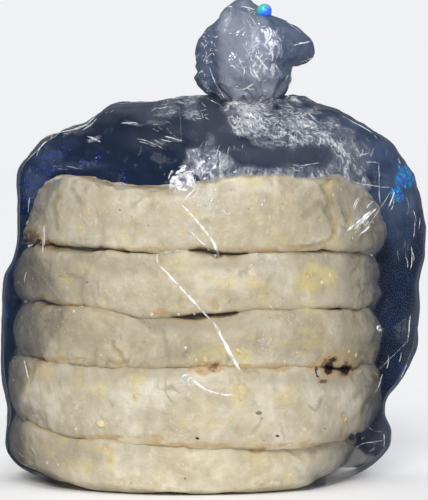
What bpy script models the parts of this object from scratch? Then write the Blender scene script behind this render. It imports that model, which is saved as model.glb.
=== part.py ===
"""A tied clear bag holding a stack of five arepas (flat corn cakes).

The filled bag is one closed solid, out to the film's own surface. It is a turned
profile, from the puffed top of the bag down past the neck, shoulder and wall to the flat
base, which is then deformed the way a filled bag is: oval in plan, grooved where one
corn cake meets the next, blown out into a loose pocket on one side, gathered in pleats
towards an off-centre neck, and crumpled above it.

Metres, +Z up. The origin is the centre of the base.
"""

import math

import bpy
from mathutils import Vector

# ---- driving sizes, metres -------------------------------------------------------------
CAKE_RADIUS = 0.0503                                        # each corn cake is about 100 mm across
CAKE_HEIGHTS = (0.0147, 0.0200, 0.0142, 0.0160, 0.0175)     # bottom to top
CAKE_SHIFT_X = -0.0045                                      # the stack leans to this side of the bag

WALL_RADIUS = 0.0520        # film round the stack, and the bag's half depth
BASE_RADIUS = 0.0360        # flat patch that the bag rests on
BASE_FILLET_Z = 0.0120
SHOULDER_Z = 0.0800         # where the film starts to close over the top cake
NECK_Z = 0.1045             # the tie point, with head space below it
NECK_RADIUS = 0.0104
NECK_X = 0.0098             # the neck sits off the middle
TUFT_TOP = 0.1330           # top of the puffed, crumpled film above the neck
TUFT_RADIUS = 0.0155
TUFT_WIDEST = 0.42          # how far up the tuft it is widest

LEFT_HALF = 0.0592          # half widths of the wall at mid height
RIGHT_HALF = 0.0579
UPPER_LEFT_HALF = 0.0547    # the left wall leans in beside the upper cakes
PINCH_HALF = 0.0464         # the right wall is pinched in low down
PINCH_Z = 0.0205

SEAM_GROOVE = 0.0013        # how far the film sinks in between two cakes
PLEAT_COUNT = 13
PLEAT_DEPTH = 0.0016

STEPS = 80                  # points round the bag
WALL_STEP = 0.0030          # height between rings on the wall


def smooth(a, b, t):
    """0 below a, 1 above b, with a smooth ramp between."""
    u = min(1.0, max(0.0, (t - a) / (b - a)))
    return u * u * (3.0 - 2.0 * u)


def hump(centre, width, t):
    return math.exp(-(((t - centre) / width) ** 2))


def seam_heights():
    total, found = 0.0, []
    for height in CAKE_HEIGHTS[:-1]:
        total += height
        found.append(total)
    return found


SEAMS = seam_heights()


# ---- the turned profile, from the top of the tuft down to the base's centre ------------
def profile():
    points = []
    # crumpled puff above the neck: an egg, widest above its middle
    rise = TUFT_TOP - NECK_Z
    count = 15
    for i in range(count):
        lift = 1.0 - i / count                          # 1 at the top, 0 at the neck
        if lift > TUFT_WIDEST:
            over = ((lift - TUFT_WIDEST) / (1.0 - TUFT_WIDEST)) ** 1.6
            radius = TUFT_RADIUS * (1.0 - over) ** 0.8
        else:
            radius = NECK_RADIUS + (TUFT_RADIUS - NECK_RADIUS) * smooth(0.0, TUFT_WIDEST, lift)
        points.append((radius, NECK_Z + rise * lift))
    # shoulder: a quarter ellipse from the neck out to the wall
    drop = NECK_Z - SHOULDER_Z
    count = 15
    for i in range(count):
        a = 0.5 * math.pi * i / count
        out = math.sin(a)
        down = 1.0 - math.cos(a)
        points.append((NECK_RADIUS + (WALL_RADIUS - NECK_RADIUS) * out, NECK_Z - drop * down))
    # wall
    count = int(round((SHOULDER_Z - BASE_FILLET_Z) / WALL_STEP))
    for i in range(count):
        points.append((WALL_RADIUS, SHOULDER_Z - (SHOULDER_Z - BASE_FILLET_Z) * i / count))
    # rounded lower edge, then the flat base
    count = 7
    for i in range(count):
        a = 0.5 * math.pi * i / count
        points.append((BASE_RADIUS + (WALL_RADIUS - BASE_RADIUS) * math.cos(a) ** 1.25,
                       BASE_FILLET_Z * (1.0 - math.sin(a) ** 1.25)))
    for i in range(3):
        points.append((BASE_RADIUS * (1.0 - i / 3.0), 0.0))
    points.append((0.0, 0.0))
    return points


# ---- the deformations of a filled bag ---------------------------------------------------
def left_half(z):
    return (LEFT_HALF - (LEFT_HALF - UPPER_LEFT_HALF) * smooth(0.054, 0.067, z)
            - 0.0020 * hump(0.016, 0.007, z))


def right_half(z):
    swell = PINCH_HALF + (RIGHT_HALF - 0.0025 - PINCH_HALF) * smooth(PINCH_Z, 0.037, z)
    swell += 0.0025 * smooth(0.050, 0.064, z) - 0.0030 * smooth(0.067, 0.082, z)
    return swell + 0.0018 * hump(0.010, 0.005, z)


def seam_groove(z):
    return sum(hump(seam, 0.0024, z) for seam in SEAMS)


def gather(z):
    """How strongly the film is gathered at this height: 0 on the wall, 1 in the neck."""
    return smooth(0.088, NECK_Z, z) * (1.0 - 0.55 * smooth(NECK_Z, NECK_Z + 0.012, z))


def placed(co):
    """Where a point of the turned shape goes on the filled bag."""
    radius, z = math.hypot(co.x, co.y), co.z
    if radius < 1e-7:
        angle = 0.0
    else:
        angle = math.atan2(co.y, co.x)
    cos_a, sin_a = math.cos(angle), math.sin(angle)
    in_tuft = smooth(NECK_Z - 0.001, NECK_Z + 0.006, z)

    # oval plan, with unlike left and right walls
    half = right_half(z) if cos_a > 0.0 else left_half(z)
    side = abs(cos_a) ** 1.3
    widen = 1.0 + (half / WALL_RADIUS - 1.0) * side * (1.0 - in_tuft)
    grown = radius * widen

    # the film sinks in between the cakes, least over the loose pocket
    slack = max(0.0, cos_a) ** 2
    grown -= SEAM_GROOVE * seam_groove(z) * (1.0 - 0.9 * slack) * smooth(0.035, 0.050, radius)

    # shallow waves of slack film on the wall and shoulder
    wave = (math.sin(3.0 * angle + 60.0 * z + 0.6) + 0.6 * math.sin(5.0 * angle - 90.0 * z)) * 0.0006
    grown += wave * smooth(0.010, 0.040, z) * smooth(0.02, 0.045, radius) * (1.0 - in_tuft)

    # pleats run up the shoulder into the neck, and fan out above it
    phase = PLEAT_COUNT * angle + 0.9 * math.sin(2.0 * angle + 0.7)
    fold = math.cos(phase) + 0.45 * math.cos(1.7 * phase + 1.1 + 40.0 * (z - NECK_Z))
    share = smooth(0.0, 0.006, radius) * gather(z)
    grown += PLEAT_DEPTH * fold * share * (0.55 + 0.45 * in_tuft)

    x, y = grown * cos_a, grown * sin_a

    # the tuft is flatter front to back, and reaches out to the upper right in a corner
    lift = (z - NECK_Z) / (TUFT_TOP - NECK_Z)
    y *= 1.0 - 0.24 * in_tuft * smooth(0.0, 0.35, lift)
    corner = hump(0.10, 0.45, angle) * hump(0.50, 0.13, lift) * in_tuft
    x += 0.0030 * corner
    x -= 0.0015 * hump(0.22, 0.20, lift) * in_tuft
    z_out = z + 0.0012 * math.sin(2.0 * angle + 0.5) * in_tuft * smooth(0.002, 0.012, radius)

    # the shoulder is lumpy
    roof = smooth(SHOULDER_Z + 0.004, NECK_Z - 0.002, z) * (1.0 - in_tuft)
    z_out += roof * 0.0009 * (math.sin(3.0 * angle + 0.4) + math.sin(5.0 * angle + 1.9)) * smooth(
        NECK_RADIUS, 0.030, radius)

    # the neck and all above it sit off the middle
    x += NECK_X * smooth(0.094, NECK_Z, z)
    return Vector((x, y, z_out))


def clear_scene():
    for obj in list(bpy.data.objects):
        bpy.data.objects.remove(obj, do_unlink=True)


def material(name, colour, roughness, alpha):
    made = bpy.data.materials.new(name)
    made.use_nodes = True
    shader = made.node_tree.nodes["Principled BSDF"]
    shader.inputs["Base Color"].default_value = (*colour, 1.0)
    shader.inputs["Roughness"].default_value = roughness
    shader.inputs["Metallic"].default_value = 0.0
    shader.inputs["Alpha"].default_value = alpha
    return made


def turned(name, points, steps, collection):
    """A profile in the XZ plane turned about Z, as a mesh object."""
    mesh = bpy.data.meshes.new(name + "_profile")
    mesh.from_pydata([(r, 0.0, z) for r, z in points], [(i, i + 1) for i in range(len(points) - 1)], [])
    obj = bpy.data.objects.new(name + "_profile", mesh)
    collection.objects.link(obj)
    screw = obj.modifiers.new("turn", "SCREW")
    screw.axis = "Z"
    screw.angle = 2.0 * math.pi
    screw.steps = screw.render_steps = steps
    screw.use_merge_vertices = True
    screw.merge_threshold = 0.00001
    screw.use_smooth_shade = True
    bpy.context.view_layer.update()
    evaluated = obj.evaluated_get(bpy.context.evaluated_depsgraph_get())
    solid = bpy.data.meshes.new_from_object(evaluated)
    solid.name = name
    bpy.data.objects.remove(obj, do_unlink=True)
    made = bpy.data.objects.new(name, solid)
    collection.objects.link(made)
    return made


def main():
    clear_scene()
    parts = bpy.data.collections.new("bagged_arepas")
    bpy.context.scene.collection.children.link(parts)

    bag = turned("bag", profile(), STEPS, parts)
    for vertex in bag.data.vertices:
        vertex.co = placed(vertex.co)

    # the frame: centred over the base, standing on z = 0
    xs = [v.co.x for v in bag.data.vertices]
    ys = [v.co.y for v in bag.data.vertices]
    low = min(v.co.z for v in bag.data.vertices)
    middle = Vector(((min(xs) + max(xs)) / 2.0, (min(ys) + max(ys)) / 2.0, low))
    for vertex in bag.data.vertices:
        vertex.co -= middle
    bag.data.materials.append(material("clear_film", (0.30, 0.33, 0.40), 0.12, 0.45))
    bag.data.shade_smooth()
    bag.data.update()


main()
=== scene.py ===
import math

import bpy
import numpy as np
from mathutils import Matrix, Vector
from mathutils.bvhtree import BVHTree


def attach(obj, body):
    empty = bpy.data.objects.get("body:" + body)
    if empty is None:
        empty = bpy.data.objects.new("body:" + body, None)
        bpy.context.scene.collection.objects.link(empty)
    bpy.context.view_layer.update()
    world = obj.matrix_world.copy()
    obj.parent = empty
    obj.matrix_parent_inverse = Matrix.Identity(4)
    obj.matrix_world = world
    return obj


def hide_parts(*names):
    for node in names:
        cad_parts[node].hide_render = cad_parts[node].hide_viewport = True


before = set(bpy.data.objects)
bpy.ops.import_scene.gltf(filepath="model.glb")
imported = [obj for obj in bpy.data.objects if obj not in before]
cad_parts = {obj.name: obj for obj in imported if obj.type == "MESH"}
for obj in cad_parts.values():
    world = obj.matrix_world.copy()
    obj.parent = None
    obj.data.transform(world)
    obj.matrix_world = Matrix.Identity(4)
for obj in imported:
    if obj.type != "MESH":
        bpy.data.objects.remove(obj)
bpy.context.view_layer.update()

# A tied clear bag with a stack of five arepas. The CAD solid "bag" is replaced by what it stands
# for: crinkled film, five separate corn cakes, the drops of moisture inside the film and the
# crumbs that stick to it. Lengths in this script are in millimetres until a mesh is made.

MM = 0.001
TAU = 2.0 * math.pi


# ================================================================ helpers: numbers and noise
def smooth(a, b, t):
    u = np.clip((np.asarray(t, float) - a) / (b - a), 0.0, 1.0)
    return u * u * (3.0 - 2.0 * u)


def hump(centre, width, t):
    return np.exp(-(((np.asarray(t, float) - centre) / width) ** 2))


def lerp(a, b, t):
    return a + (b - a) * t


def along(t, table, column=1):
    """Reads a table of rows (t, value, ...) with a smooth curve through its rows."""
    xs = np.array([row[0] for row in table], float)
    ys = np.array([row[column] for row in table], float)
    if xs[0] > xs[-1]:
        xs, ys = xs[::-1], ys[::-1]
    slopes = np.gradient(ys, xs)
    t = np.clip(np.asarray(t, float), xs[0], xs[-1])
    i = np.clip(np.searchsorted(xs, t) - 1, 0, len(xs) - 2)
    h = xs[i + 1] - xs[i]
    u = (t - xs[i]) / h
    secant = (ys[i + 1] - ys[i]) / h
    m0 = np.where(slopes[i] * secant > 0, np.clip(slopes[i], -3 * abs(secant), 3 * abs(secant)), 0.0)
    m1 = np.where(slopes[i + 1] * secant > 0, np.clip(slopes[i + 1], -3 * abs(secant), 3 * abs(secant)), 0.0)
    return ((2 * u**3 - 3 * u**2 + 1) * ys[i] + (u**3 - 2 * u**2 + u) * h * m0
            + (-2 * u**3 + 3 * u**2) * ys[i + 1] + (u**3 - u**2) * h * m1)


def scatter_value(ix, iy, iz, seed):
    """A fixed pseudo-random number in -1..1 for each whole-number lattice point."""
    ix, iy, iz = (np.asarray(v).astype(np.int64) for v in (ix, iy, iz))
    h = (ix * 0x8DA6B343 + iy * 0xD8163841 + iz * 0xCB1AB31F + seed * 0x9E3779B1) & 0xFFFFFFFF
    h ^= h >> 15
    h = (h * 0x2C1B3C6D) & 0xFFFFFFFF
    h ^= h >> 12
    h = (h * 0x297A2D39) & 0xFFFFFFFF
    h ^= h >> 15
    return h.astype(float) / 2147483647.5 - 1.0


def noise(p, size, seed=0):
    """Smooth gradient noise of about -1..1. p is (..., 3) in mm, size the wavelength."""
    q = np.asarray(p, float) / np.asarray(size, float)
    cell = np.floor(q)
    f = q - cell
    w = f * f * f * (f * (f * 6.0 - 15.0) + 10.0)
    total = 0.0
    for dx in (0, 1):
        for dy in (0, 1):
            for dz in (0, 1):
                x, y, z = cell[..., 0] + dx, cell[..., 1] + dy, cell[..., 2] + dz
                g = ((f[..., 0] - dx) * scatter_value(x, y, z, seed)
                     + (f[..., 1] - dy) * scatter_value(x, y, z, seed + 11)
                     + (f[..., 2] - dz) * scatter_value(x, y, z, seed + 23))
                wx = w[..., 0] if dx else 1.0 - w[..., 0]
                wy = w[..., 1] if dy else 1.0 - w[..., 1]
                wz = w[..., 2] if dz else 1.0 - w[..., 2]
                total = total + g * wx * wy * wz
    return total * 1.6


def rough_noise(p, size, seed=0, octaves=4, gain=0.5):
    total, weight = 0.0, 1.0
    for k in range(octaves):
        total = total + weight * noise(p, np.asarray(size, float) / 2.03**k, seed + 101 * k)
        weight *= gain
    return total


def crumple(p, size, seed=0, warp=0.45):
    """Piecewise flat noise: flat facets that meet in straight creases, as crumpled film has.
    A lattice of random heights, read linearly over each tetrahedron of a bent grid."""
    p = np.asarray(p, float)
    size = np.asarray(size, float)
    bend = np.stack([noise(p, size * 1.7, seed + k) for k in (501, 502, 503)], axis=-1)
    turn = np.array([[0.80, 0.36, -0.48], [-0.60, 0.48, -0.64], [0.0, 0.80, 0.60]])
    q = (p / size + warp * bend) @ turn.T
    cell = np.floor(q)
    f = q - cell
    order = np.argsort(-f, axis=-1)
    fs = np.take_along_axis(f, order, axis=-1)
    corner = cell.copy()
    value = scatter_value(corner[..., 0], corner[..., 1], corner[..., 2], seed)
    out = value
    for k in range(3):
        step = np.zeros_like(f)
        np.put_along_axis(step, order[..., k:k + 1], 1.0, axis=-1)
        corner = corner + step
        nxt = scatter_value(corner[..., 0], corner[..., 1], corner[..., 2], seed)
        out = out + (nxt - value) * fs[..., k]
        value = nxt
    return out


def triangle_wave(t):
    """Sharp crests and valleys, -1..1, one period each whole number."""
    return 1.0 - 4.0 * np.abs(t - np.floor(t) - 0.5)


# ================================================================ helpers: meshes
def grid_faces(rows, cols, closed=True):
    i, j = np.meshgrid(np.arange(rows - 1), np.arange(cols if closed else cols - 1), indexing="ij")
    k = (j + 1) % cols
    return np.stack([i * cols + j, (i + 1) * cols + j, (i + 1) * cols + k, i * cols + k], axis=-1).reshape(-1, 4)


def grid_normals(p, closed=True):
    """Outward normals of a (rows, cols, 3) grid that runs top to bottom and counter-clockwise."""
    if closed:
        du = np.roll(p, -1, axis=1) - np.roll(p, 1, axis=1)
    else:
        du = np.gradient(p, axis=1)
    dv = np.gradient(p, axis=0)
    n = np.cross(dv, du)
    length = np.linalg.norm(n, axis=-1, keepdims=True)
    return n / np.maximum(length, 1e-9)


def make_piece(name, points, faces, material, attributes=None, smooth_shade=True, tris=None):
    mesh = bpy.data.meshes.new(name)
    points = np.asarray(points, float).reshape(-1, 3) * MM
    polys = [list(map(int, f)) for f in faces]
    if tris is not None:
        polys += [list(map(int, f)) for f in tris]
    mesh.from_pydata(points.tolist(), [], polys)
    for key, values in (attributes or {}).items():
        layer = mesh.attributes.new(key, "FLOAT", "POINT")
        layer.data.foreach_set("value", np.asarray(values, float).reshape(-1).astype(np.float32))
    mesh.materials.append(material)
    if smooth_shade:
        mesh.shade_smooth()
    mesh.update()
    obj = bpy.data.objects.new(name, mesh)
    bpy.context.scene.collection.objects.link(obj)
    return obj


# ================================================================ the bag's named sizes
# half outline of the bag seen from the front: height, left side x, right side x
OUTLINE = (
    (0.0, -52.0, 46.0), (3.0, -55.5, 47.6), (8.0, -57.6, 48.9), (13.0, -57.3, 49.0), (18.0, -56.9, 47.3),
    (22.0, -57.2, 47.9), (26.0, -58.1, 50.8), (31.0, -58.6, 53.7), (37.0, -58.6, 55.8), (45.0, -58.6, 56.6),
    (52.0, -58.3, 56.7), (56.0, -57.7, 57.3), (60.0, -55.6, 58.6), (64.0, -54.5, 59.1), (71.0, -54.2, 58.7),
    (77.0, -54.2, 57.1), (82.0, -54.4, 55.4),
)
STACK_X = ((0.0, -6.6), (14.0, -6.0), (24.0, -4.7), (50.0, -4.4), (66.0, -3.4), (82.0, -2.9))
FILM_RADIUS = 51.75          # the film's radius where it lies against the cakes
BASE_RADIUS = 37.0
FILLET_Z = 11.0
SHOULDER_Z = 80.5
NECK_Z = 104.6
NECK_X = 9.6
NECK_HALF_X, NECK_HALF_Y = 12.0, 8.6

# the upper edge of the stack, the lines where the cakes meet, and its lower edge, as seen from the front
SEAMS = (
    ((22, 190), (40, 184), (60, 179), (75, 177), (90, 179), (105, 184), (120, 188), (150, 188), (180, 188), (195, 184),
     (210, 180), (225, 178), (240, 176), (270, 175), (285, 175), (300, 178), (315, 180), (330, 178), (345, 182),
     (362, 186), (384, 190)),
    ((14, 254), (38, 247), (56, 247), (74, 249), (110, 251), (128, 253), (164, 254), (182, 251.5), (200, 250.5),
     (218, 254), (236, 254), (254, 252), (290, 251), (326, 251), (344, 252), (362, 254), (388, 256)),
    ((10, 304), (33, 303), (51, 305), (87, 309), (105, 311), (123, 314), (141, 316.5), (159, 317.5), (195, 316.5),
     (213, 315), (231, 314), (249, 312), (285, 311), (321, 309), (339, 310), (357, 311), (384, 314)),
    ((8, 352), (33, 359), (51, 363), (69, 365), (87, 367), (105, 368.5), (141, 368.5), (177, 370), (213, 369),
     (249, 370.5), (285, 368.5), (303, 369), (321, 367.5), (339, 368.5), (357, 367), (384, 362)),
    ((8, 416), (33, 425.5), (51, 434), (69, 438), (87, 441), (105, 443), (141, 446.5), (177, 446.5), (213, 447.5),
     (249, 447), (285, 446.5), (303, 445), (321, 443.5), (339, 441.5), (362, 434)),
)
VIEW_FAR, VIEW_HIGH = 900.0, 88.0       # the front view is taken from this far and this high


def front_view(p):
    """Where a point shows in the front view, on the upright plane through the axis."""
    shrink = VIEW_FAR / (VIEW_FAR + p[..., 1])
    return p[..., 0] * shrink, VIEW_HIGH + (p[..., 2] - VIEW_HIGH) * shrink


def px(x, y):
    """The same plane, from a position measured across and down the front view."""
    return ((x - 213.6) * 0.2755, VIEW_HIGH - (y - 159.0) * 0.2755)


def seam_table(k):
    """The seam's height at each x, worked back to where it lies on the round front of the stack."""
    rows = []
    for x, y in SEAMS[k]:
        fx, fz = px(x, y)
        near = VIEW_FAR / (VIEW_FAR - 0.0 if k == 0 else VIEW_FAR - math.sqrt(max(0.0, 50.0 ** 2 - (fx + 4.6) ** 2)))
        rows.append((fx / near, VIEW_HIGH + (fz - VIEW_HIGH) / near))
    return rows


SEAM_TABLES = [seam_table(k) for k in range(5)]

# each cake: middle x, radius, depth of its rounded edge, squareness of the edge
CAKES = (
    (-2.7, 50.1, 8.2, 2.5),
    (-4.2, 49.6, 7.6, 2.5),
    (-4.6, 50.3, 7.0, 2.6),
    (-4.6, 50.4, 7.0, 3.8),
    (-7.1, 49.2, 7.2, 3.2),
)
# dark slits where two cakes do not quite meet on the front: face, middle x, half width, depth
SLITS = (
    (1, -37.0, 9.0, 0.95), (1, -28.0, 6.0, 0.55), (1, -1.5, 5.0, 1.25), (1, 5.5, 3.5, 0.8), (2, -5.5, 6.0, 1.0),
    (2, 29.5, 4.5, 0.5), (2, 3.0, 3.5, 0.4), (2, -46.0, 6.0, 0.4), (3, 33.0, 4.0, 0.35),
)


def face_height(k, x, y):
    """Height of face k at a place: 0 is the top of the stack, 5 its bottom."""
    if k == 5:
        r = np.hypot(x + 6.5, y)
        aside = np.abs(x + 6.5) / np.maximum(r, 1e-6)
        return 0.35 + 4.4 * smooth(0.45, 1.0, aside) * smooth(26.0, 49.0, r)
    z = along(x, SEAM_TABLES[k])
    p = np.stack([x, y, np.full_like(x, 17.0 * k)], axis=-1)
    inner = smooth(-46.0, -20.0, y)
    if k == 0:
        return z + (0.5 * noise(p, 26.0, 5) + 0.4 * noise(p, 8.0, 6)) * (0.3 + 0.7 * inner)
    return z + (0.55 * noise(p, 24.0, 50 + k) + 0.22 * noise(p, 9.0, 60 + k)) * inner


def slit(k, x, y):
    """Depth of the dark slits at face k, only near the front rim."""
    depth = np.zeros_like(x)
    ragged = 1.0 + 0.6 * noise(np.stack([x, y, np.full_like(x, 9.0 * k)], axis=-1), 3.4, 90)
    for face, middle, half, deep in SLITS:
        if face == k:
            depth = np.maximum(depth, deep * ragged * smooth(1.15, 0.35, np.abs(x - middle) / half))
    return depth * smooth(43.0, 47.5, np.hypot(x + 4.5, y)) * smooth(-10.0, -24.0, y)


def press(k, x, y):
    """How far the soft rims are pressed into each other at face k."""
    if k in (0, 5):
        return np.zeros_like(x)
    p = np.stack([x, y, np.full_like(x, 13.0 * k)], axis=-1)
    amount = (0.0, 0.34, 0.28, 0.46, 0.80)[k] * (0.85 + 0.35 * noise(p, 9.0, 95))
    return amount * smooth(36.0, 44.0, np.hypot(x + 4.5, y)) * smooth(0.12, 0.0, slit(k, x, y))


def front_angles(count):
    """Angles round the bag, closer together on the front, at -Y."""
    t = np.arange(count) / count
    base = TAU * t
    return base - 0.40 * np.sin(base) - math.pi / 2.0


# ================================================================ the corn cakes
def edge_profile(power, deep, half, steps):
    """A rounded edge from the top face to the bottom face in even steps: outward 0..1, height 1..-1."""
    u = np.linspace(0.0, 0.5 ** (1.0 / power), 60)
    v = np.linspace(0.5 ** (1.0 / power), 0.0, 60)[1:]
    r = np.concatenate([u, (1.0 - v ** power) ** (1.0 / power)])
    z = np.concatenate([(1.0 - u ** power) ** (1.0 / power), v])
    r, z = np.concatenate([r, r[-2::-1]]), np.concatenate([z, -z[-2::-1]])
    length = np.concatenate([[0.0], np.cumsum(np.hypot(np.diff(r) * deep, np.diff(z) * half))])
    at = np.linspace(0.0, length[-1], steps + 1)
    return np.interp(at, length, r), np.interp(at, length, z)


def cake_points(k, cols, flat_rows, edge_rows):
    cx, radius, edge, square = CAKES[k]
    theta = front_angles(cols)
    rows = []
    for i in range(flat_rows):                       # top face, centre to rim
        rows.append(("top", (i / flat_rows) ** 0.75))
    for i in range(edge_rows + 1):
        rows.append(("edge", i))
    for i in range(flat_rows):
        rows.append(("bottom", (1.0 - (i + 1) / flat_rows) ** 0.75))
    n = len(rows)
    p = np.zeros((n, cols, 3))
    rim = np.zeros((n, cols))                        # 1 on the side, 0 in the middle of a flat
    side = np.zeros((n, cols))                       # +1 top face, -1 bottom face
    profiles = [edge_profile(square + 15.0 * abs(math.sin(a)) ** 1.7, edge, 9.0, edge_rows) for a in theta]
    ring = np.stack([np.cos(theta) * 30.0, np.sin(theta) * 30.0, np.full_like(theta, 31.0 * k)], axis=-1)
    lump = 0.75 * noise(ring, 21.0, 70 + k) + 0.45 * noise(ring, 9.0, 80 + k)
    out = radius + lump
    for i, (kind, t) in enumerate(rows):
        if kind == "edge":
            c = np.array([profile[0][t] for profile in profiles])
            lift = np.array([profile[1][t] for profile in profiles])
            belly = (1.0 - lift * lift) * c * (0.75 + 0.25 * np.sin(theta * 3.0 + k)) - 0.4
            rho = out - edge + edge * c + belly * np.abs(np.sin(theta))
            right = np.clip(np.cos(theta), 0.0, 1.0) ** 4
            if k == 0:
                rho = rho - 4.2 * smooth(-0.7, 1.0, lift) * np.abs(np.cos(theta)) ** 3 * c
            if k == 3:
                rho = rho - (0.4 + 2.2 * smooth(0.3, -1.0, lift)) * right * c
                rho = rho + 1.7 * np.clip(-np.cos(theta), 0.0, 1.0) ** 4 * c * smooth(-1.0, 0.0, lift)
            if k == 4:
                rho = rho - (3.9 + 1.5 * smooth(0.2, -1.0, lift)) * right * c
            rim[i] = c ** 0.8
            side[i] = lift
        else:
            rho = (out - edge) * t
            lift = 1.0 if kind == "top" else -1.0
            side[i] = lift
        x, y = cx + rho * np.cos(theta), rho * np.sin(theta)
        top = face_height(k, x, y) - (0.02 if k else 0.0) - 0.75 * slit(k, x, y) + press(k, x, y)
        low = face_height(k + 1, x, y) + 0.02 + 0.25 * slit(k + 1, x, y) - press(k + 1, x, y)
        middle, half = 0.5 * (top + low), 0.5 * (top - low)
        p[i, :, 0], p[i, :, 1], p[i, :, 2] = x, y, middle + half * lift
    return p, rim, side


def spots(p, places, seed, ragged=0.38, size=5.0):
    """Ragged patches at named places on the front of the stack: x, z, half width, half height, strength."""
    front = smooth(8.0, -8.0, p[..., 1])
    fx, fz = front_view(p)
    edge = rough_noise(p, size, seed, 4, 0.6)
    total = np.zeros(p.shape[:-1])
    for x, z, rx, rz, strength in places:
        d = np.sqrt(((fx - x) / rx) ** 2 + ((fz - z) / rz) ** 2)
        total = np.maximum(total, strength * front * smooth(1.15, 0.55, d + ragged * edge))
    return total


def strokes(p, lines, seed):
    """Thin marks along lines in the front view: points, half width, strength."""
    front = smooth(4.0, -6.0, p[..., 1])
    fx, fz = front_view(p)
    wobble = noise(p, 3.0, seed)
    total = np.zeros(p.shape[:-1])
    for points, width, strength in lines:
        d, t = polyline_distance(fx, fz, [px(*q) for q in points])
        total = np.maximum(total, strength * front * smooth(1.3, 0.4, d / width + 0.4 * wobble))
    return total


def polyline_distance(x, z, points):
    """Distance of (x, z) to a polyline, and how far along it (0..1)."""
    best = np.full(np.shape(x), 1e9)
    where = np.zeros(np.shape(x))
    total = sum(math.dist(points[i], points[i + 1]) for i in range(len(points) - 1))
    walked = 0.0
    for (x0, z0), (x1, z1) in zip(points[:-1], points[1:]):
        dx, dz = x1 - x0, z1 - z0
        length = math.hypot(dx, dz)
        t = np.clip(((x - x0) * dx + (z - z0) * dz) / (length * length), 0.0, 1.0)
        d = np.hypot(x - x0 - t * dx, z - z0 - t * dz)
        near = d < best
        best = np.where(near, d, best)
        where = np.where(near, (walked + t * length) / total, where)
        walked += length
    return best, where


YELLOW = [(*px(x, y), rx, rz, s) for x, y, rx, rz, s in (
    (309, 281, 4.6, 4.4, 1.0), (326, 277, 3.2, 2.6, 0.95), (238, 397, 2.6, 4.0, 0.95), (252, 284, 2.8, 1.8, 0.6),
    (226, 283, 3.2, 2.6, 0.6), (138, 380, 2.6, 1.6, 0.75), (134, 396, 1.0, 3.6, 0.7), (103, 450, 3.6, 1.3, 0.8),
    (110, 459, 1.2, 3.2, 0.8), (159, 477, 2.0, 3.0, 0.55), (254, 454, 3.2, 3.0, 0.7), (290, 477, 2.6, 2.2, 0.75),
    (246, 177, 5.0, 2.6, 0.6), (188, 211, 4.0, 3.0, 0.45), (180, 265, 4.6, 3.0, 0.35), (331, 240, 3.6, 2.2, 0.55),
    (240, 356, 3.0, 2.4, 0.85), (219, 353, 4.0, 1.6, 0.7), (300, 355, 2.6, 1.3, 0.7), (306, 331, 3.2, 1.4, 0.55),
    (308, 308, 3.0, 2.8, 0.5), (345, 424, 1.4, 3.2, 0.6), (286, 400, 4.2, 2.2, 0.4), (205, 425, 6.0, 2.6, 0.35),
    (196, 357, 3.0, 2.0, 0.55), (62, 356, 1.2, 2.4, 0.7), (38, 372, 4.0, 2.6, 0.6), (24, 385, 1.6, 4.0, 0.6),
    (83, 269, 3.6, 2.4, 0.45), (66, 280, 2.2, 2.6, 0.4), (101, 302, 1.2, 1.6, 0.7), (80, 227, 1.6, 1.4, 0.8),
    (112, 236, 1.6, 1.2, 0.5), (328, 186, 1.4, 5.0, 0.5), (338, 225, 3.0, 1.8, 0.5), (372, 270, 1.4, 3.2, 0.6),
    (369, 352, 2.0, 2.4, 0.6), (305, 345, 10.0, 1.6, 0.35), (70, 466, 3.0, 2.0, 0.4), (183, 424, 1.6, 1.2, 0.6),
    (208, 405, 2.6, 3.0, 0.3), (118, 386, 1.4, 1.0, 0.4), (120, 350, 3.0, 3.0, 0.25), (45, 296, 3.2, 1.6, 0.5),
)]
TOAST = [(*px(x, y), rx, rz, s) for x, y, rx, rz, s in (
    (328.5, 368, 2.6, 3.2, 1.25), (345, 369, 2.8, 2.8, 1.25), (332, 360, 2.4, 1.8, 1.1), (323, 382, 2.2, 1.5, 0.5),
    (28, 237, 3.6, 2.4, 1.0), (40, 243, 5.0, 1.1, 0.8), (158, 313, 2.2, 1.3, 0.60), (116, 364, 2.6, 1.1, 0.42),
    (142, 368, 4.6, 0.8, 0.55), (205, 368, 5.5, 2.0, 0.95), (330, 362, 4.6, 2.0, 0.80), (349, 363, 3.6, 3.0, 0.60),
    (336, 356, 6.0, 2.2, 0.42), (315, 366, 2.6, 1.4, 0.6), (381, 357, 2.2, 2.2, 1.0), (378, 378, 2.4, 1.2, 1.0),
    (155, 440, 2.6, 1.6, 0.5), (258, 450, 2.6, 1.2, 0.75), (270, 251.5, 4.5, 0.7, 0.60), (304, 247, 8.0, 0.9, 0.5),
    (240, 367, 8.0, 0.8, 0.5), (280, 368, 7.0, 1.0, 0.6), (350, 437, 3.0, 2.2, 0.6), (214, 306, 2.0, 2.0, 0.4),
    (100, 438, 12.0, 0.9, 0.5), (190, 446, 14.0, 0.7, 0.5), (290, 446, 14.0, 0.7, 0.45), (60, 305, 10.0, 0.8, 0.5),
    (60, 360, 9.0, 0.9, 0.5), (140, 250, 12.0, 0.9, 0.4), (332, 186, 1.0, 3.4, 0.3), (335, 224, 1.2, 2.4, 0.3),
)]
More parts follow.
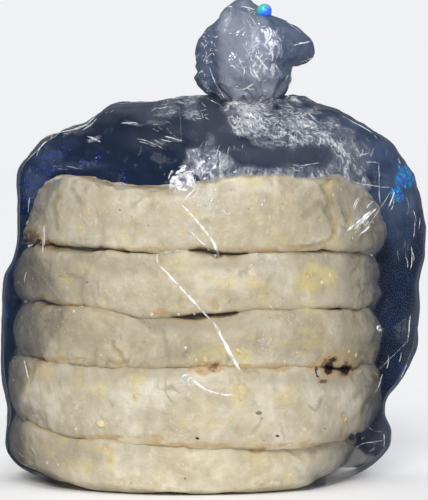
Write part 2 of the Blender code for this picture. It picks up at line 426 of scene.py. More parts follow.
CHAR = [(*px(x, y), rx, rz, s) for x, y, rx, rz, s in (
    (328.5, 369, 1.45, 1.95, 1.0), (345, 370, 1.6, 1.6, 1.0), (332.5, 360.5, 1.2, 0.6, 0.95), (323, 382, 1.5, 0.9, 0.50),
    (259, 414, 1.5, 0.9, 0.5), (352, 438, 1.4, 1.2, 0.8), (382, 356, 0.9, 0.8, 0.9), (379, 377, 1.3, 0.5, 0.9),
    (25, 241, 1.2, 0.7, 0.9), (38, 241, 0.8, 0.5, 0.8), (197, 440, 0.75, 0.35, 1.0), (277, 437, 0.5, 0.25, 0.9),
    (184, 480, 0.35, 0.35, 0.8), (316, 371, 0.35, 1.6, 0.8), (318, 378, 0.7, 0.3, 0.7), (86, 283, 0.5, 0.3, 0.6),
    (119, 210, 0.4, 0.3, 0.8), (131, 216, 0.3, 0.3, 0.8), (148, 226, 0.3, 0.3, 0.6), (282, 204, 0.3, 0.3, 0.6),
    (276, 282, 0.3, 0.3, 0.9), (325, 430, 0.4, 0.3, 0.7), (138, 265, 0.9, 0.5, 0.35),
)]


# painted shade on the dough, darker at the ends of the stack and below each seam: x, y in the front view, half width
# and half height mm, strength
PAINTED_SHADE = [(*px(x, y), rx, rz, s) for x, y, rx, rz, s in (
    (46, 454, 19.0, 7.0, 1.3), (340, 458, 12.0, 7.0, 0.55), (95, 480, 11.0, 4.0, 0.35), (310, 474, 7.0, 5.0, 0.4),
    (352, 404, 7.0, 7.0, 0.25), (336, 378, 10.0, 4.0, 1.2), (50, 272, 13.0, 7.0, 1.3), (118, 266, 9.0, 3.4, 0.9),
    (240, 264, 16.0, 2.2, 0.75), (84, 260, 9.0, 3.4, 0.8), (330, 262, 5.0, 4.0, 0.6), (175, 323, 13.0, 3.2, 1.1),
    (235, 322, 11.0, 2.6, 0.65), (150, 345, 9.0, 3.0, 0.15), (300, 350, 14.0, 3.4, 0.6), (90, 340, 5.0, 4.0, 0.6),
    (330, 210, 4.6, 9.0, 1.1), (125, 194, 9.0, 1.8, 0.5), (180, 192, 7.0, 1.8, 0.8), (60, 376, 12.0, 3.0, 0.7),
    (285, 378, 12.0, 2.6, 0.7), (28, 425, 4.0, 5.0, 0.8), (125, 452, 9.0, 2.2, 0.6), (150, 374, 12.0, 2.2, 0.7),
    (60, 205, 5.0, 3.4, 0.35), (360, 345, 5.0, 4.0, 0.6), (22, 274, 4.5, 6.0, 1.0), (26, 350, 5.0, 2.5, 1.0),
    (30, 324, 4.0, 3.0, 0.6), (372, 300, 4.0, 5.0, 0.6), (374, 390, 4.0, 6.0, 0.5), (352, 276, 6.0, 8.0, 0.8),
    (356, 238, 7.0, 4.0, 0.9), (60, 440, 9.0, 3.0, 0.8), (356, 212, 4.0, 5.0, 0.5), (190, 354, 8.0, 2.6, 0.6),
)]


# shallow cracks and dents between the lumps of dough, sunk into the surface and painted darker as shade: points in the
# front view, half width mm, strength
CRACKS = (
    (((328, 178), (326, 186), (329, 194), (332, 203), (329, 211)), 0.95, 1.0),
    (((329, 209), (333, 218), (336, 226), (335, 236), (327, 243), (316, 246), (303, 248)), 0.70, 0.8),
    (((306, 217), (311, 211), (321, 205)), 1.30, 0.55), (((345, 213), (350, 217), (349, 224)), 0.60, 0.6),
    (((362, 222), (366, 230), (362, 239)), 0.80, 0.8), (((340, 226), (348, 231), (355, 230)), 0.70, 0.45),
    (((58, 197), (54, 206), (56, 217), (57, 229)), 0.80, 0.50), (((72, 190), (76, 197), (80, 204)), 0.90, 0.35),
    (((62, 277), (70, 276), (79, 279)), 0.60, 0.45), (((112, 343), (112, 350), (119, 354)), 0.70, 0.45),
    (((186, 340), (189, 349), (185, 357)), 0.90, 0.35), (((345, 416), (347, 424), (344, 432)), 0.90, 0.40),
    (((104, 447), (110, 453), (109, 462)), 0.80, 0.35), (((28, 371), (22, 380), (21, 391)), 0.90, 0.5),
    (((250, 450), (257, 454), (262, 451)), 0.55, 0.45), (((352, 376), (357, 387), (355, 398)), 0.90, 0.35),
)


def soften(value, rows, cols):
    """The mean of a grid's values over a small neighbourhood."""
    value = sum(np.roll(value, s, axis=1) for s in range(-cols, cols + 1)) / (2 * cols + 1)
    padded = np.pad(value, ((rows, rows), (0, 0)), mode="edge")
    return sum(padded[s:s + len(value)] for s in range(2 * rows + 1)) / (2 * rows + 1)


def make_cakes(materials):
    made = []
    for k in range(5):
        p, rim, side = cake_points(k, 400, 14, 70)
        n = grid_normals(p)
        n[0], n[-1] = (0, 0, 1), (0, 0, -1)
        whole = p + np.array([13.0 * k, 7.0 * k, 0.0])
        # lumpy, hand-patted side: soft bulges, doughy folds, then grain
        bulge = 0.85 * noise(whole, 16.0, 200 + k) + 0.46 * noise(whole, 7.5, 210 + k)
        fold = noise(whole * np.array([1.0, 1.0, 0.6]), 11.0, 220 + k)
        crease = -0.42 * smooth(0.16, 0.0, np.abs(fold)) * smooth(0.1, 0.5, noise(whole, 23.0, 230 + k))
        across = np.cos(np.arctan2(p[..., 1], p[..., 0] + 4.5))
        corner = smooth(0.55, 0.95, side) * smooth(0.1, 0.5, rim)
        ends = smooth(0.74, 0.95, across) + (1.0 if k == 0 else 0.5) * smooth(-0.70, -0.92, across)
        crag = 0.85 * noise(whole, 5.5, 215 + k) + 0.55 * noise(whole, 3.0, 216 + k) + 0.32 * noise(whole, 1.7, 217 + k)
        bulge = bulge + np.maximum(ends, (0.75 if k == 0 else 0.0) * corner) * crag
        grain = 0.17 * noise(whole, 3.1, 240 + k) + 0.09 * noise(whole, 1.6, 250 + k)
        pits = -0.22 * smooth(0.50, 0.80, noise(whole, 2.6, 260 + k))
        on_side = smooth(0.05, 0.6, rim)
        if k == 0:
            on_side = np.maximum(on_side, 0.75 * smooth(0.0, 0.4, side))
        # cracks: the named ones, and a net of faint ones where the dough is lumpy
        net = smooth(0.13, 0.0, np.abs(noise(whole * np.array([1.0, 1.0, 0.85]), 7.0, 280 + k) + 0.25 * noise(whole, 2.4, 281 + k)))
        net = net * smooth(0.20, 0.75, noise(whole, 12.0, 285 + k) + 0.60 * ends) * on_side
        crack_and_shade = np.maximum(strokes(p, CRACKS, 270 + k), 0.62 * net)
        amount = (bulge + crease) * (0.10 + 0.90 * on_side) + (grain + pits) * (0.35 + 0.65 * on_side) - 0.55 * crack_and_shade
        q = p + n * amount[..., None]
        q[0], q[-1] = q[0].mean(axis=0), q[-1].mean(axis=0)
        # the cakes stay inside the film
        angle = np.arctan2(q[..., 1], q[..., 0] - along(q[..., 2], STACK_X))
        middle_x, reach = film_reach(angle, q[..., 2])
        away = np.hypot(q[..., 0] - middle_x, q[..., 1])
        squeeze = np.minimum(1.0, (reach - 0.55) / np.maximum(away, 1e-6))
        q[..., 0] = middle_x + (q[..., 0] - middle_x) * squeeze
        q[..., 1] *= squeeze
        # faces pressed together stay apart
        # painted shade in the hollows: darker where the surface lies below the mean of its neighbourhood
        low = soften(amount, 8, 5) - amount
        painted_hollow_shade = np.clip((low + 0.02) / 0.20, 0.0, 1.0) * on_side
        yellow = spots(q, YELLOW, 300 + k)
        stray = rough_noise(whole, 8.5, 310 + k, 4, 0.55)
        yellow = np.maximum(yellow, 0.45 * smooth(0.40, 0.80, stray))
        pale = rough_noise(whole * np.array([1.0, 1.0, 1.25]), 12.0, 305 + k, 4, 0.55)
        toast = spots(q, TOAST, 320 + k, 0.5)
        behind = smooth(-8.0, 8.0, q[..., 1])
        seam = smooth(0.55, 0.93, np.abs(side)) * rim ** 0.1
        brown = rough_noise(whole, 10.0, 330 + k, 4, 0.6)
        if k == 0:
            seam = seam * smooth(0.2, -0.2, side)
        toast = np.maximum(toast, 0.75 * seam * smooth(0.10, 0.75, brown) * (0.35 + 0.65 * behind))
        flat = smooth(0.97, 1.0, np.abs(side)) * smooth(0.5, 0.2, rim)
        baked = rough_noise(whole, 14.0, 340 + k, 4, 0.6)
        toast = np.maximum(toast, 0.85 * flat * smooth(-0.15, 0.75, baked))
        char = spots(q, CHAR, 350 + k, 0.28)
        scorch = rough_noise(whole, 4.2, 360 + k, 3, 0.6)
        char = np.maximum(char, 0.9 * flat * smooth(0.62, 0.86, scorch) * smooth(0.15, 0.5, baked))
        cool = np.clip(smooth(0.55, 0.95, across) + 0.8 * smooth(-0.62, -0.95, across)
                       + 0.7 * rough_noise(whole, 17.0, 345 + k, 3, 0.5), 0.0, 1.0)
        glow = smooth(0.72, 0.97, np.abs(side) if k else -side) * rim ** 0.1 * smooth(-0.35, 0.45, rough_noise(whole * np.array([1.0, 1.0, 0.4]), 16.0, 346 + k, 3, 0.6))
        fx, fz = front_view(q)
        front = smooth(12.0, -12.0, q[..., 1])
        # painted shade from the table on the front; on the back, random darker patches of dough
        painted_shade_and_tone = np.zeros_like(fx)
        for x0, z0, rx, rz, strength in PAINTED_SHADE:
            distance = np.sqrt(((fx - x0) / rx) ** 2 + ((fz - z0) / rz) ** 2) + 0.22 * noise(whole, 8.0, 365)
            painted_shade_and_tone = np.maximum(painted_shade_and_tone, strength * front * smooth(1.35, 0.15, distance))
        painted_shade_and_tone = np.maximum(painted_shade_and_tone, 0.35 * smooth(0.2, 0.9, rough_noise(whole, 22.0, 370 + k, 3, 0.5)) * (1.0 - front))
        attributes = {"yellow": yellow, "toast": toast, "char": char, "painted_hollow_shade": painted_hollow_shade, "pale": pale,
                      "cool": cool, "glow": glow, "painted_shade_and_tone": painted_shade_and_tone, "crack_and_shade": crack_and_shade}
        rows, cols = q.shape[:2]
        q[..., 2] = np.maximum(q[..., 2], 0.12)     # inside the film on the flat base
        obj = make_piece("arepa_%d" % (k + 1), q, grid_faces(rows, cols), materials[k % len(materials)], attributes)
        made.append((obj, q))
    return made


def stack_outline(cakes_q):
    """The stack's sides by height, and the top cake's upper edge by place, in the front view."""
    heights = np.arange(0.0, 86.0, 0.8)
    places = np.arange(-56.0, 54.0, 1.0)
    left, right = np.full(len(heights), np.nan), np.full(len(heights), np.nan)
    top = np.full(len(places), np.nan)
    for k, q in enumerate(cakes_q):
        fx, fz = (v.ravel() for v in front_view(q))
        i = np.round(fz / 0.8).astype(int)
        for row in range(len(heights)):
            here = fx[i == row]
            if len(here):
                left[row] = np.fmin(left[row], here.min())
                right[row] = np.fmax(right[row], here.max())
        if k == 0:
            j = np.round((fx + 56.0) / 1.0).astype(int)
            for col in range(len(places)):
                here = fz[j == col]
                if len(here):
                    top[col] = here.max()
    for row in (left, right, top):
        bad = np.isnan(row)
        row[bad] = np.interp(np.flatnonzero(bad), np.flatnonzero(~bad), row[~bad])
    return heights, left, right, places, top


# ================================================================ the film
def film_radial(theta, z):
    """The film's distance from the stack's axis at a height on the wall."""
    cx = along(z, STACK_X)
    left, right = along(z, OUTLINE, 1), along(z, OUTLINE, 2)
    c = np.cos(theta)
    swell = np.where(c > 0, (right - cx - FILM_RADIUS) * np.clip(c, 0, 1) ** 3.4,
                     (cx - left - FILM_RADIUS) * np.clip(-c, 0, 1) ** 6.0)
    return cx, FILM_RADIUS + swell


def bottom_shape(theta):
    """Where the rounding of the bottom starts and where it ends: height, radius on the floor."""
    s = np.abs(np.sin(theta)) ** 1.5
    return FILLET_Z - 6.0 * s, BASE_RADIUS + 8.6 * s


def film_reach(theta, z):
    """The film's distance from the axis, with the rounding of the bottom."""
    cx, radial = film_radial(theta, np.clip(z, 0.0, 80.0))
    start, foot = bottom_shape(theta)
    down = np.clip(1.0 - z / start, 0.0, 1.0) ** (1.0 / 1.15)
    return cx, np.where(z < start, foot + (radial - foot) * np.sqrt(np.maximum(1.0 - down * down, 0.0)) ** 0.95, radial)


def film_grid(cols):
    """Rows from the neck down to the middle of the base."""
    theta = front_angles(cols)
    rows, kinds = [], []
    roof_rows, wall_rows, fillet_rows, base_rows = 84, 108, 26, 12
    for i in range(roof_rows):
        a = 0.5 * math.pi * (1.0 - i / roof_rows)
        e = np.where(np.cos(theta) > 0, 1.08 + 0.34 * np.clip(np.cos(theta), 0, 1) ** 1.5,
                     1.08 - 0.14 * np.clip(-np.cos(theta), 0, 1) ** 1.5)
        f = math.cos(a) ** e
        cx, radial = film_radial(theta, np.full(cols, SHOULDER_Z))
        nx, ny = NECK_HALF_X * np.cos(theta), NECK_HALF_Y * np.sin(theta)
        x = NECK_X + nx + (cx + radial * np.cos(theta) - NECK_X - nx) * f
        y = ny + (radial * np.sin(theta) - ny) * f
        z = np.full(cols, SHOULDER_Z + (NECK_Z - SHOULDER_Z) * math.sin(a))
        rows.append(np.stack([x, y, z], axis=-1))
        kinds.append(("roof", 1.0 - i / roof_rows))
    start, foot = bottom_shape(theta)
    for i in range(wall_rows):
        z = SHOULDER_Z + (start - SHOULDER_Z) * i / wall_rows
        cx, radial = film_radial(theta, z)
        rows.append(np.stack([cx + radial * np.cos(theta), radial * np.sin(theta), z], axis=-1))
        kinds.append(("wall", 0.0))
    for i in range(fillet_rows):
        a = 0.5 * math.pi * i / fillet_rows
        z = start * (1.0 - math.sin(a) ** 1.15)
        cx, radial = film_radial(theta, z)
        r = foot + (radial - foot) * math.cos(a) ** 0.95
        rows.append(np.stack([cx + r * np.cos(theta), r * np.sin(theta), z], axis=-1))
        kinds.append(("fillet", 0.0))
    for i in range(base_rows + 1):
        r = foot * (1.0 - i / base_rows)
        rows.append(np.stack([-5.8 + r * np.cos(theta), r * np.sin(theta), np.zeros(cols)], axis=-1))
        kinds.append(("base", 0.0))
    return theta, np.array(rows), kinds


# crinkled patches on the front, where the film is full of fine folds: x, z, half width, half height, strength
CRINKLE = [(*px(x, y), rx, rz, s) for x, y, rx, rz, s in (
    (250, 116, 9, 7.0, 1.0), (236, 112, 4, 4.0, 0.9), (285, 130, 11, 9.5, 1.0), (318, 142, 9, 7.5, 0.95), (342, 152, 4.5, 8.0, 0.75),
    (360, 160, 3.5, 6.0, 0.5), (207, 172, 3.6, 4.6, 0.80), (222, 166, 3.4, 6.0, 0.80), (197, 160, 3.2, 5.0, 0.70), (212, 148, 3.0, 5.0, 0.55),
    (186, 168, 2.4, 2.4, 0.60), (230, 140, 2.4, 5.0, 0.45), (235, 176, 5, 2.6, 0.6), (194, 101, 3.6, 2.0, 0.75),
    (168, 106, 3.4, 2.6, 0.50), (156, 120, 3.6, 1.2, 0.45), (196, 113, 3.6, 2.6, 0.60), (72, 126, 5.0, 1.2, 0.30), (300, 171, 9, 2.2, 0.9), (330, 165, 6, 2.8, 0.8), (262, 173, 9, 1.8, 0.8), (358, 182, 3.5, 3.0, 0.6),
    (184, 182, 3.6, 4.0, 1.0), (205, 200, 3, 4.0, 0.5), (133, 123, 3.0, 0.5, 0.35),
    (95, 139, 2.0, 0.8, 0.75), (152, 145, 3.4, 0.6, 0.35), (175, 140, 3.2, 0.6, 0.45), (226, 150, 3.0, 7.0, 0.35),
)]
# places on the front where the film is milky: blue on the shoulders, grey near the edges
HAZE = [(*px(x, y), rx, rz, s) for x, y, rx, rz, s in (
    (398, 192, 9.0, 14.0, 1.0), (372, 150, 11.0, 9.0, 1.0), (342, 122, 12.0, 6.0, 1.0), (310, 103, 10.0, 4.0, 0.9),
    (402, 240, 5.0, 6.0, 0.35), (46, 158, 5.0, 6.0, 0.60), (34, 184, 4.0, 6.0, 0.75), (64, 144, 5.0, 3.0, 0.25),
    (76, 166, 10.0, 1.3, 0.35), (48, 195, 6.0, 3.0, 0.55),
)]
# smoky grey film: x, y in the front view, half width and half height mm, strength; above 0.95 the fold is painted pale
# grey, painted light where it lies in the shade under the bottom cake
SMOKY_AND_PAINTED_LIGHT = [(*px(x, y), rx, rz, s) for x, y, rx, rz, s in (
    (128, 108, 11.0, 2.6, 0.90), (152, 112, 7.0, 4.4, 0.75), (190, 106, 9.0, 5.0, 0.80), (100, 116, 5.0, 3.0, 0.5),
    (74, 128, 6.0, 2.0, 0.45), (205, 128, 7.0, 7.0, 0.60), (376, 438, 6.5, 8.0, 0.95),
    (185, 130, 7.0, 4.0, 0.35), (205, 155, 6.0, 8.0, 0.55), (345, 160, 7.0, 9.0, 0.55), (222, 120, 5.0, 7.0, 0.45),
    (354, 458, 5.0, 4.4, 1.7), (345, 468, 5.0, 3.0, 1.6), (370, 460, 4.0, 3.0, 1.2), (374, 446, 5.0, 4.6, 0.9),
    (410, 345, 3.0, 12.0, 0.45), (18, 440, 6.0, 7.0, 0.60), (370, 468, 5.0, 5.0, 0.95), (150, 140, 9.0, 4.0, 0.22),
)]
# painted highlights: pale, wrinkled places on the film over the cakes, painted near-white
PAINTED_HIGHLIGHTS = [(*px(x, y), rx, rz, s) for x, y, rx, rz, s in (
    (173, 182, 1.4, 2.6, 1.0), (179, 174, 2.2, 1.1, 0.9), (189, 180, 1.1, 2.2, 0.9), (181, 190, 2.6, 1.0, 0.95),
    (184, 382, 1.9, 1.6, 0.55), (361, 220, 2.0, 2.4, 0.45), (368, 209, 1.2, 2.0, 0.35), (390, 199, 0.6, 2.0, 0.5),
    (262, 200, 1.2, 1.1, 0.45), (220, 210, 1.8, 1.3, 0.4), (248, 273, 1.4, 1.8, 0.4), (274, 308, 1.6, 1.4, 0.4),
    (284, 319, 2.4, 1.0, 0.3), (262, 344, 2.0, 2.2, 0.4), (269, 224, 1.2, 3.4, 0.3), (200, 199, 2.0, 2.4, 0.35),
    (209, 206, 1.0, 2.2, 0.35), (378, 328, 0.9, 0.6, 1.0), (381, 331, 0.5, 0.7, 1.0),
    (250, 117, 3.4, 3.6, 0.50), (243, 109, 2.4, 2.0, 0.45), (258, 108, 2.6, 1.8, 0.40), (296, 122, 3.0, 1.6, 0.35),
)]
# bunches of short creases, painted as highlights: middle and half size in the front view, direction and its spread in
# degrees, how many, their length, width mm, painted brightness
BUNCHES = (
    (362, 219, 9, 15, -52, 14, 12, 15, 0.60, 0.85), (392, 201, 3, 7, -68, 10, 4, 11, 0.5, 0.65),
    (194, 198, 7, 9, -50, 32, 9, 9, 0.50, 0.65), (210, 206, 4, 10, -76, 18, 6, 10, 0.42, 0.55),
    (262, 201, 5, 5, 10, 80, 7, 4, 0.45, 0.60), (268, 226, 4, 14, -84, 16, 8, 7, 0.32, 0.40),
    (222, 211, 7, 5, 0, 60, 7, 5, 0.40, 0.55), (249, 273, 6, 7, -60, 45, 8, 5, 0.42, 0.50),
    (268, 263, 8, 4, 20, 45, 6, 4, 0.36, 0.45), (274, 309, 6, 6, 0, 70, 8, 4, 0.40, 0.50),
    (285, 320, 9, 5, 25, 35, 8, 5, 0.36, 0.40), (264, 345, 8, 9, -25, 60, 12, 4, 0.40, 0.50),
    (272, 362, 3, 8, -72, 20, 5, 6, 0.36, 0.45), (326, 330, 9, 3, 20, 25, 5, 6, 0.36, 0.35),
    (184, 382, 8, 6, -58, 45, 10, 8, 0.60, 0.85), (338, 192, 7, 4, 10, 70, 6, 4, 0.36, 0.40),
    (94, 140, 7, 2, 22, 10, 4, 7, 0.45, 0.80), (150, 143, 12, 3, 22, 10, 4, 10, 0.34, 0.50),
    (172, 140, 9, 3, 20, 12, 5, 8, 0.42, 0.70), (130, 124, 8, 2, 2, 8, 3, 8, 0.42, 0.50),
    (190, 101, 14, 5, 15, 45, 12, 9, 0.42, 0.45), (166, 110, 12, 6, -20, 45, 10, 8, 0.40, 0.38),
    (195, 115, 12, 6, 30, 50, 10, 7, 0.36, 0.42), (249, 118, 13, 10, 74, 34, 34, 5, 0.50, 0.75),
    (283, 127, 20, 13, 84, 18, 60, 4.5, 0.34, 0.50), (314, 134, 18, 13, 84, 18, 48, 5, 0.34, 0.42),
    (346, 152, 9, 16, 84, 14, 18, 6, 0.34, 0.34), (212, 166, 13, 14, 70, 40, 20, 6, 0.38, 0.42),
    (238, 146, 8, 10, 78, 24, 10, 6, 0.36, 0.34), (202, 158, 14, 16, -58, 14, 12, 14, 0.44, 0.40),
    (194, 170, 9, 9, 62, 14, 10, 9, 0.42, 0.45), (222, 158, 10, 16, -68, 14, 12, 12, 0.42, 0.36),
    (146, 121, 12, 5, 4, 10, 3, 8, 0.32, 0.30), (165, 128, 10, 6, 35, 20, 6, 8, 0.36, 0.35),
    (80, 126, 9, 4, 24, 20, 5, 5, 0.40, 0.45), (112, 110, 10, 3, -30, 40, 4, 8, 0.28, 0.25), (288, 168, 14, 4, 12, 25, 9, 6, 0.38, 0.45),
    (70, 128, 16, 7, -30, 25, 8, 10, 0.36, 0.30), (60, 168, 26, 3, 4, 12, 6, 12, 0.36, 0.22),
    (365, 130, 10, 14, 55, 14, 4, 12, 0.28, 0.20), (402, 240, 8, 34, 84, 10, 5, 18, 0.26, 0.16),
    (372, 445, 12, 7, -18, 22, 7, 9, 0.40, 0.30), (25, 440, 12, 16, 30, 40, 8, 9, 0.36, 0.25),
)
# the pucker on the left of the top cake: uneven wedges of doubled film, painted as highlights round a dark middle
PUCKER = (
    (((170, 190), (171, 184), (174, 176)), 1.5, 0.50, 1.0), (((174, 189), (175, 184), (178, 179)), 0.8, 0.40, 0.9),
    (((175, 175), (180, 171), (185, 170)), 1.1, 0.45, 1.0), (((183, 176), (187, 172), (191, 172)), 0.6, 0.35, 0.85),
    (((186, 175), (189, 180), (190, 187)), 1.3, 0.50, 1.0), (((176, 187), (181, 190), (187, 190)), 1.2, 0.45, 1.0),
    (((192, 177), (194, 183), (193, 190)), 0.5, 0.30, 0.8), (((168, 180), (169, 176), (172, 171)), 0.5, 0.30, 0.7),
    (((178, 168), (183, 166), (188, 168)), 0.4, 0.28, 0.6), (((184, 188), (187, 185), (188, 181)), 0.6, 0.35, 0.8),
)


def short_creases():
    """The bunches and the ring written out as single creases."""
    lines = []
    for b, (x, y, rx, ry, direction, spread, count, length, width, painted_brightness) in enumerate(BUNCHES):
        for i in range(count):
            u, v, w, t = (float(scatter_value(i, b, k, 770)) for k in range(4))
            a = math.radians(direction + spread * w)
            cx, cy = x + rx * u, y + ry * v
            half = 0.5 * length * (0.75 + 0.45 * t)
            bow = 0.16 * half * v
            dx, dy = math.cos(a), math.sin(a)
            line = [(cx + dx * half * q - dy * bow * (1 - q * q), cy + dy * half * q + dx * bow * (1 - q * q))
                    for q in (-1.0, -0.4, 0.3, 1.0)]
            lines.append((line, width * (0.8 + 0.35 * u), 0.26, painted_brightness * (0.75 + 0.35 * t)))
    lines.extend((list(line), width, rise, painted_brightness) for line, width, rise, painted_brightness in PUCKER)
    return lines


def far_creases():
    """Scattered creases with painted highlights on the right, the back and the left of the bag."""
    lines = []
    for turn in (1, 2, 3):
        for i in range(44):
            u, v, w, t = (float(scatter_value(i, turn, k, 792)) for k in range(4))
            on_roof = i < 20
            x = 213.6 + (105.0 if turn == 2 else 118.0) * u
            y = 142.0 + 26.0 * v if on_roof else 315.0 + 150.0 * v
            a = math.radians((90.0 - 70.0 * u if on_roof else 82.0) + 26.0 * w)
            half = 4.0 + (7.0 if on_roof else 10.0) * abs(t)
            bow = 0.14 * half * w
            dx, dy = math.cos(a), math.sin(a)
            line = [(x + dx * half * q - dy * bow * (1 - q * q), y + dy * half * q + dx * bow * (1 - q * q))
                    for q in (-1.0, -0.4, 0.3, 1.0)]
            lines.append((line, 0.30 + 0.35 * abs(v * w), 0.28, 0.28 + 0.42 * abs(t), turn))
    return lines


# creases drawn tight in the film, painted as highlights: points in the front view, width mm, height mm, painted
# brightness
CREASES = (
    (((180, 204), (184, 208), (196, 221), (206, 233), (214, 245), (219, 259)), 0.95, 0.50, 1.0),
    (((189, 231), (197, 239), (206, 247)), 0.50, 0.30, 0.7),
    (((181, 205), (186, 198), (192, 192), (198, 187)), 0.42, 0.30, 0.8),
    (((207, 215), (209, 206), (212, 197)), 0.34, 0.25, 0.55),
    (((186, 250), (172, 252), (158, 254)), 0.55, 0.36, 0.85),
    (((158, 254), (156, 258), (157, 264)), 0.62, 0.40, 0.9),
    (((157, 264), (166, 273), (178, 286), (190, 299), (201, 311), (212, 323)), 0.85, 0.50, 1.0),
    (((212, 321), (218, 332), (225, 345), (232, 358), (240, 372)), 1.45, 0.70, 1.0),
    (((240, 372), (242, 380), (238, 393)), 0.26, 0.20, 0.45),
    (((190, 378), (194, 382), (199, 386), (207, 391), (216, 394), (226, 396), (235, 395)), 0.80, 0.42, 0.95),
    (((346, 232), (356, 224), (364, 217), (371, 211)), 1.0, 0.55, 0.95),
    (((356, 239), (368, 226), (380, 208), (386, 199), (391, 189)), 0.26, 0.20, 0.45),
    (((378, 160), (378.5, 176), (378.5, 192), (380, 206)), 0.28, 0.20, 0.40),
    (((353, 183), (366, 185), (378, 187), (391, 188)), 0.42, 0.26, 0.55),
    (((388, 208), (391, 200), (394, 192)), 0.60, 0.40, 0.7),
    (((354, 450), (362, 445), (373, 443), (385, 441)), 0.34, 0.24, 0.45),
    (((378, 371), (388, 361), (399, 350), (411, 338)), 0.50, 0.24, 0.22),
    (((365, 425), (374, 432), (386, 433)), 0.26, 0.18, 0.25),
    (((88, 124), (96, 116), (104, 109), (110, 105)), 0.34, 0.26, 0.8),
    (((110, 105), (126, 104), (142, 103), (158, 102)), 0.30, 0.24, 0.35),
    (((204, 98), (212, 102), (222, 107)), 0.42, 0.26, 0.8),
    (((86, 137), (94, 139), (101, 142)), 0.55, 0.36, 0.9),
    (((139, 139), (150, 143), (163, 149)), 0.34, 0.26, 0.6),
    (((164, 137), (173, 139), (183, 142)), 0.40, 0.28, 0.75),
    (((178, 103), (180, 120), (181, 141)), 0.26, 0.20, 0.20),
    (((120, 124), (128, 123.5), (138, 124)), 0.36, 0.24, 0.55),
    (((296, 167), (308, 165), (320, 163)), 0.40, 0.26, 0.6),
    (((25, 262), (45, 281), (58, 297), (76, 315)), 0.24, 0.16, 0.16),
    (((161, 388), (162, 396), (165, 405)), 0.22, 0.18, 0.45),
)
# the dark, smooth roll of film that runs below the crinkled part of the roof
ROLL = ((207, 100), (214, 122), (224, 140), (243, 155), (268, 162), (296, 160), (322, 155))


def make_veil(fx, fz):
    """Where a loose second fold of film dims the ends of the cakes."""
    left = along(fz, [(px(0, y)[1], px(x, y)[0]) for x, y in (
        (16, 500), (20, 470), (24, 440), (18, 415), (22, 390), (33, 372), (44, 352), (62, 322), (66, 305),
        (56, 285), (40, 262), (34, 246), (36, 228), (44, 206), (58, 186), (70, 170))])
    right = along(fz, [(px(0, y)[1], px(x, y)[0]) for x, y in (
        (338, 500), (342, 470), (350, 450), (360, 436), (365, 410), (367, 380), (370, 350), (369, 320), (367, 280),
        (365, 250), (362, 225), (366, 200), (372, 170))])
    return np.maximum(smooth(0.9, -0.9, fx - left), smooth(-2.2, 2.2, fx - right))


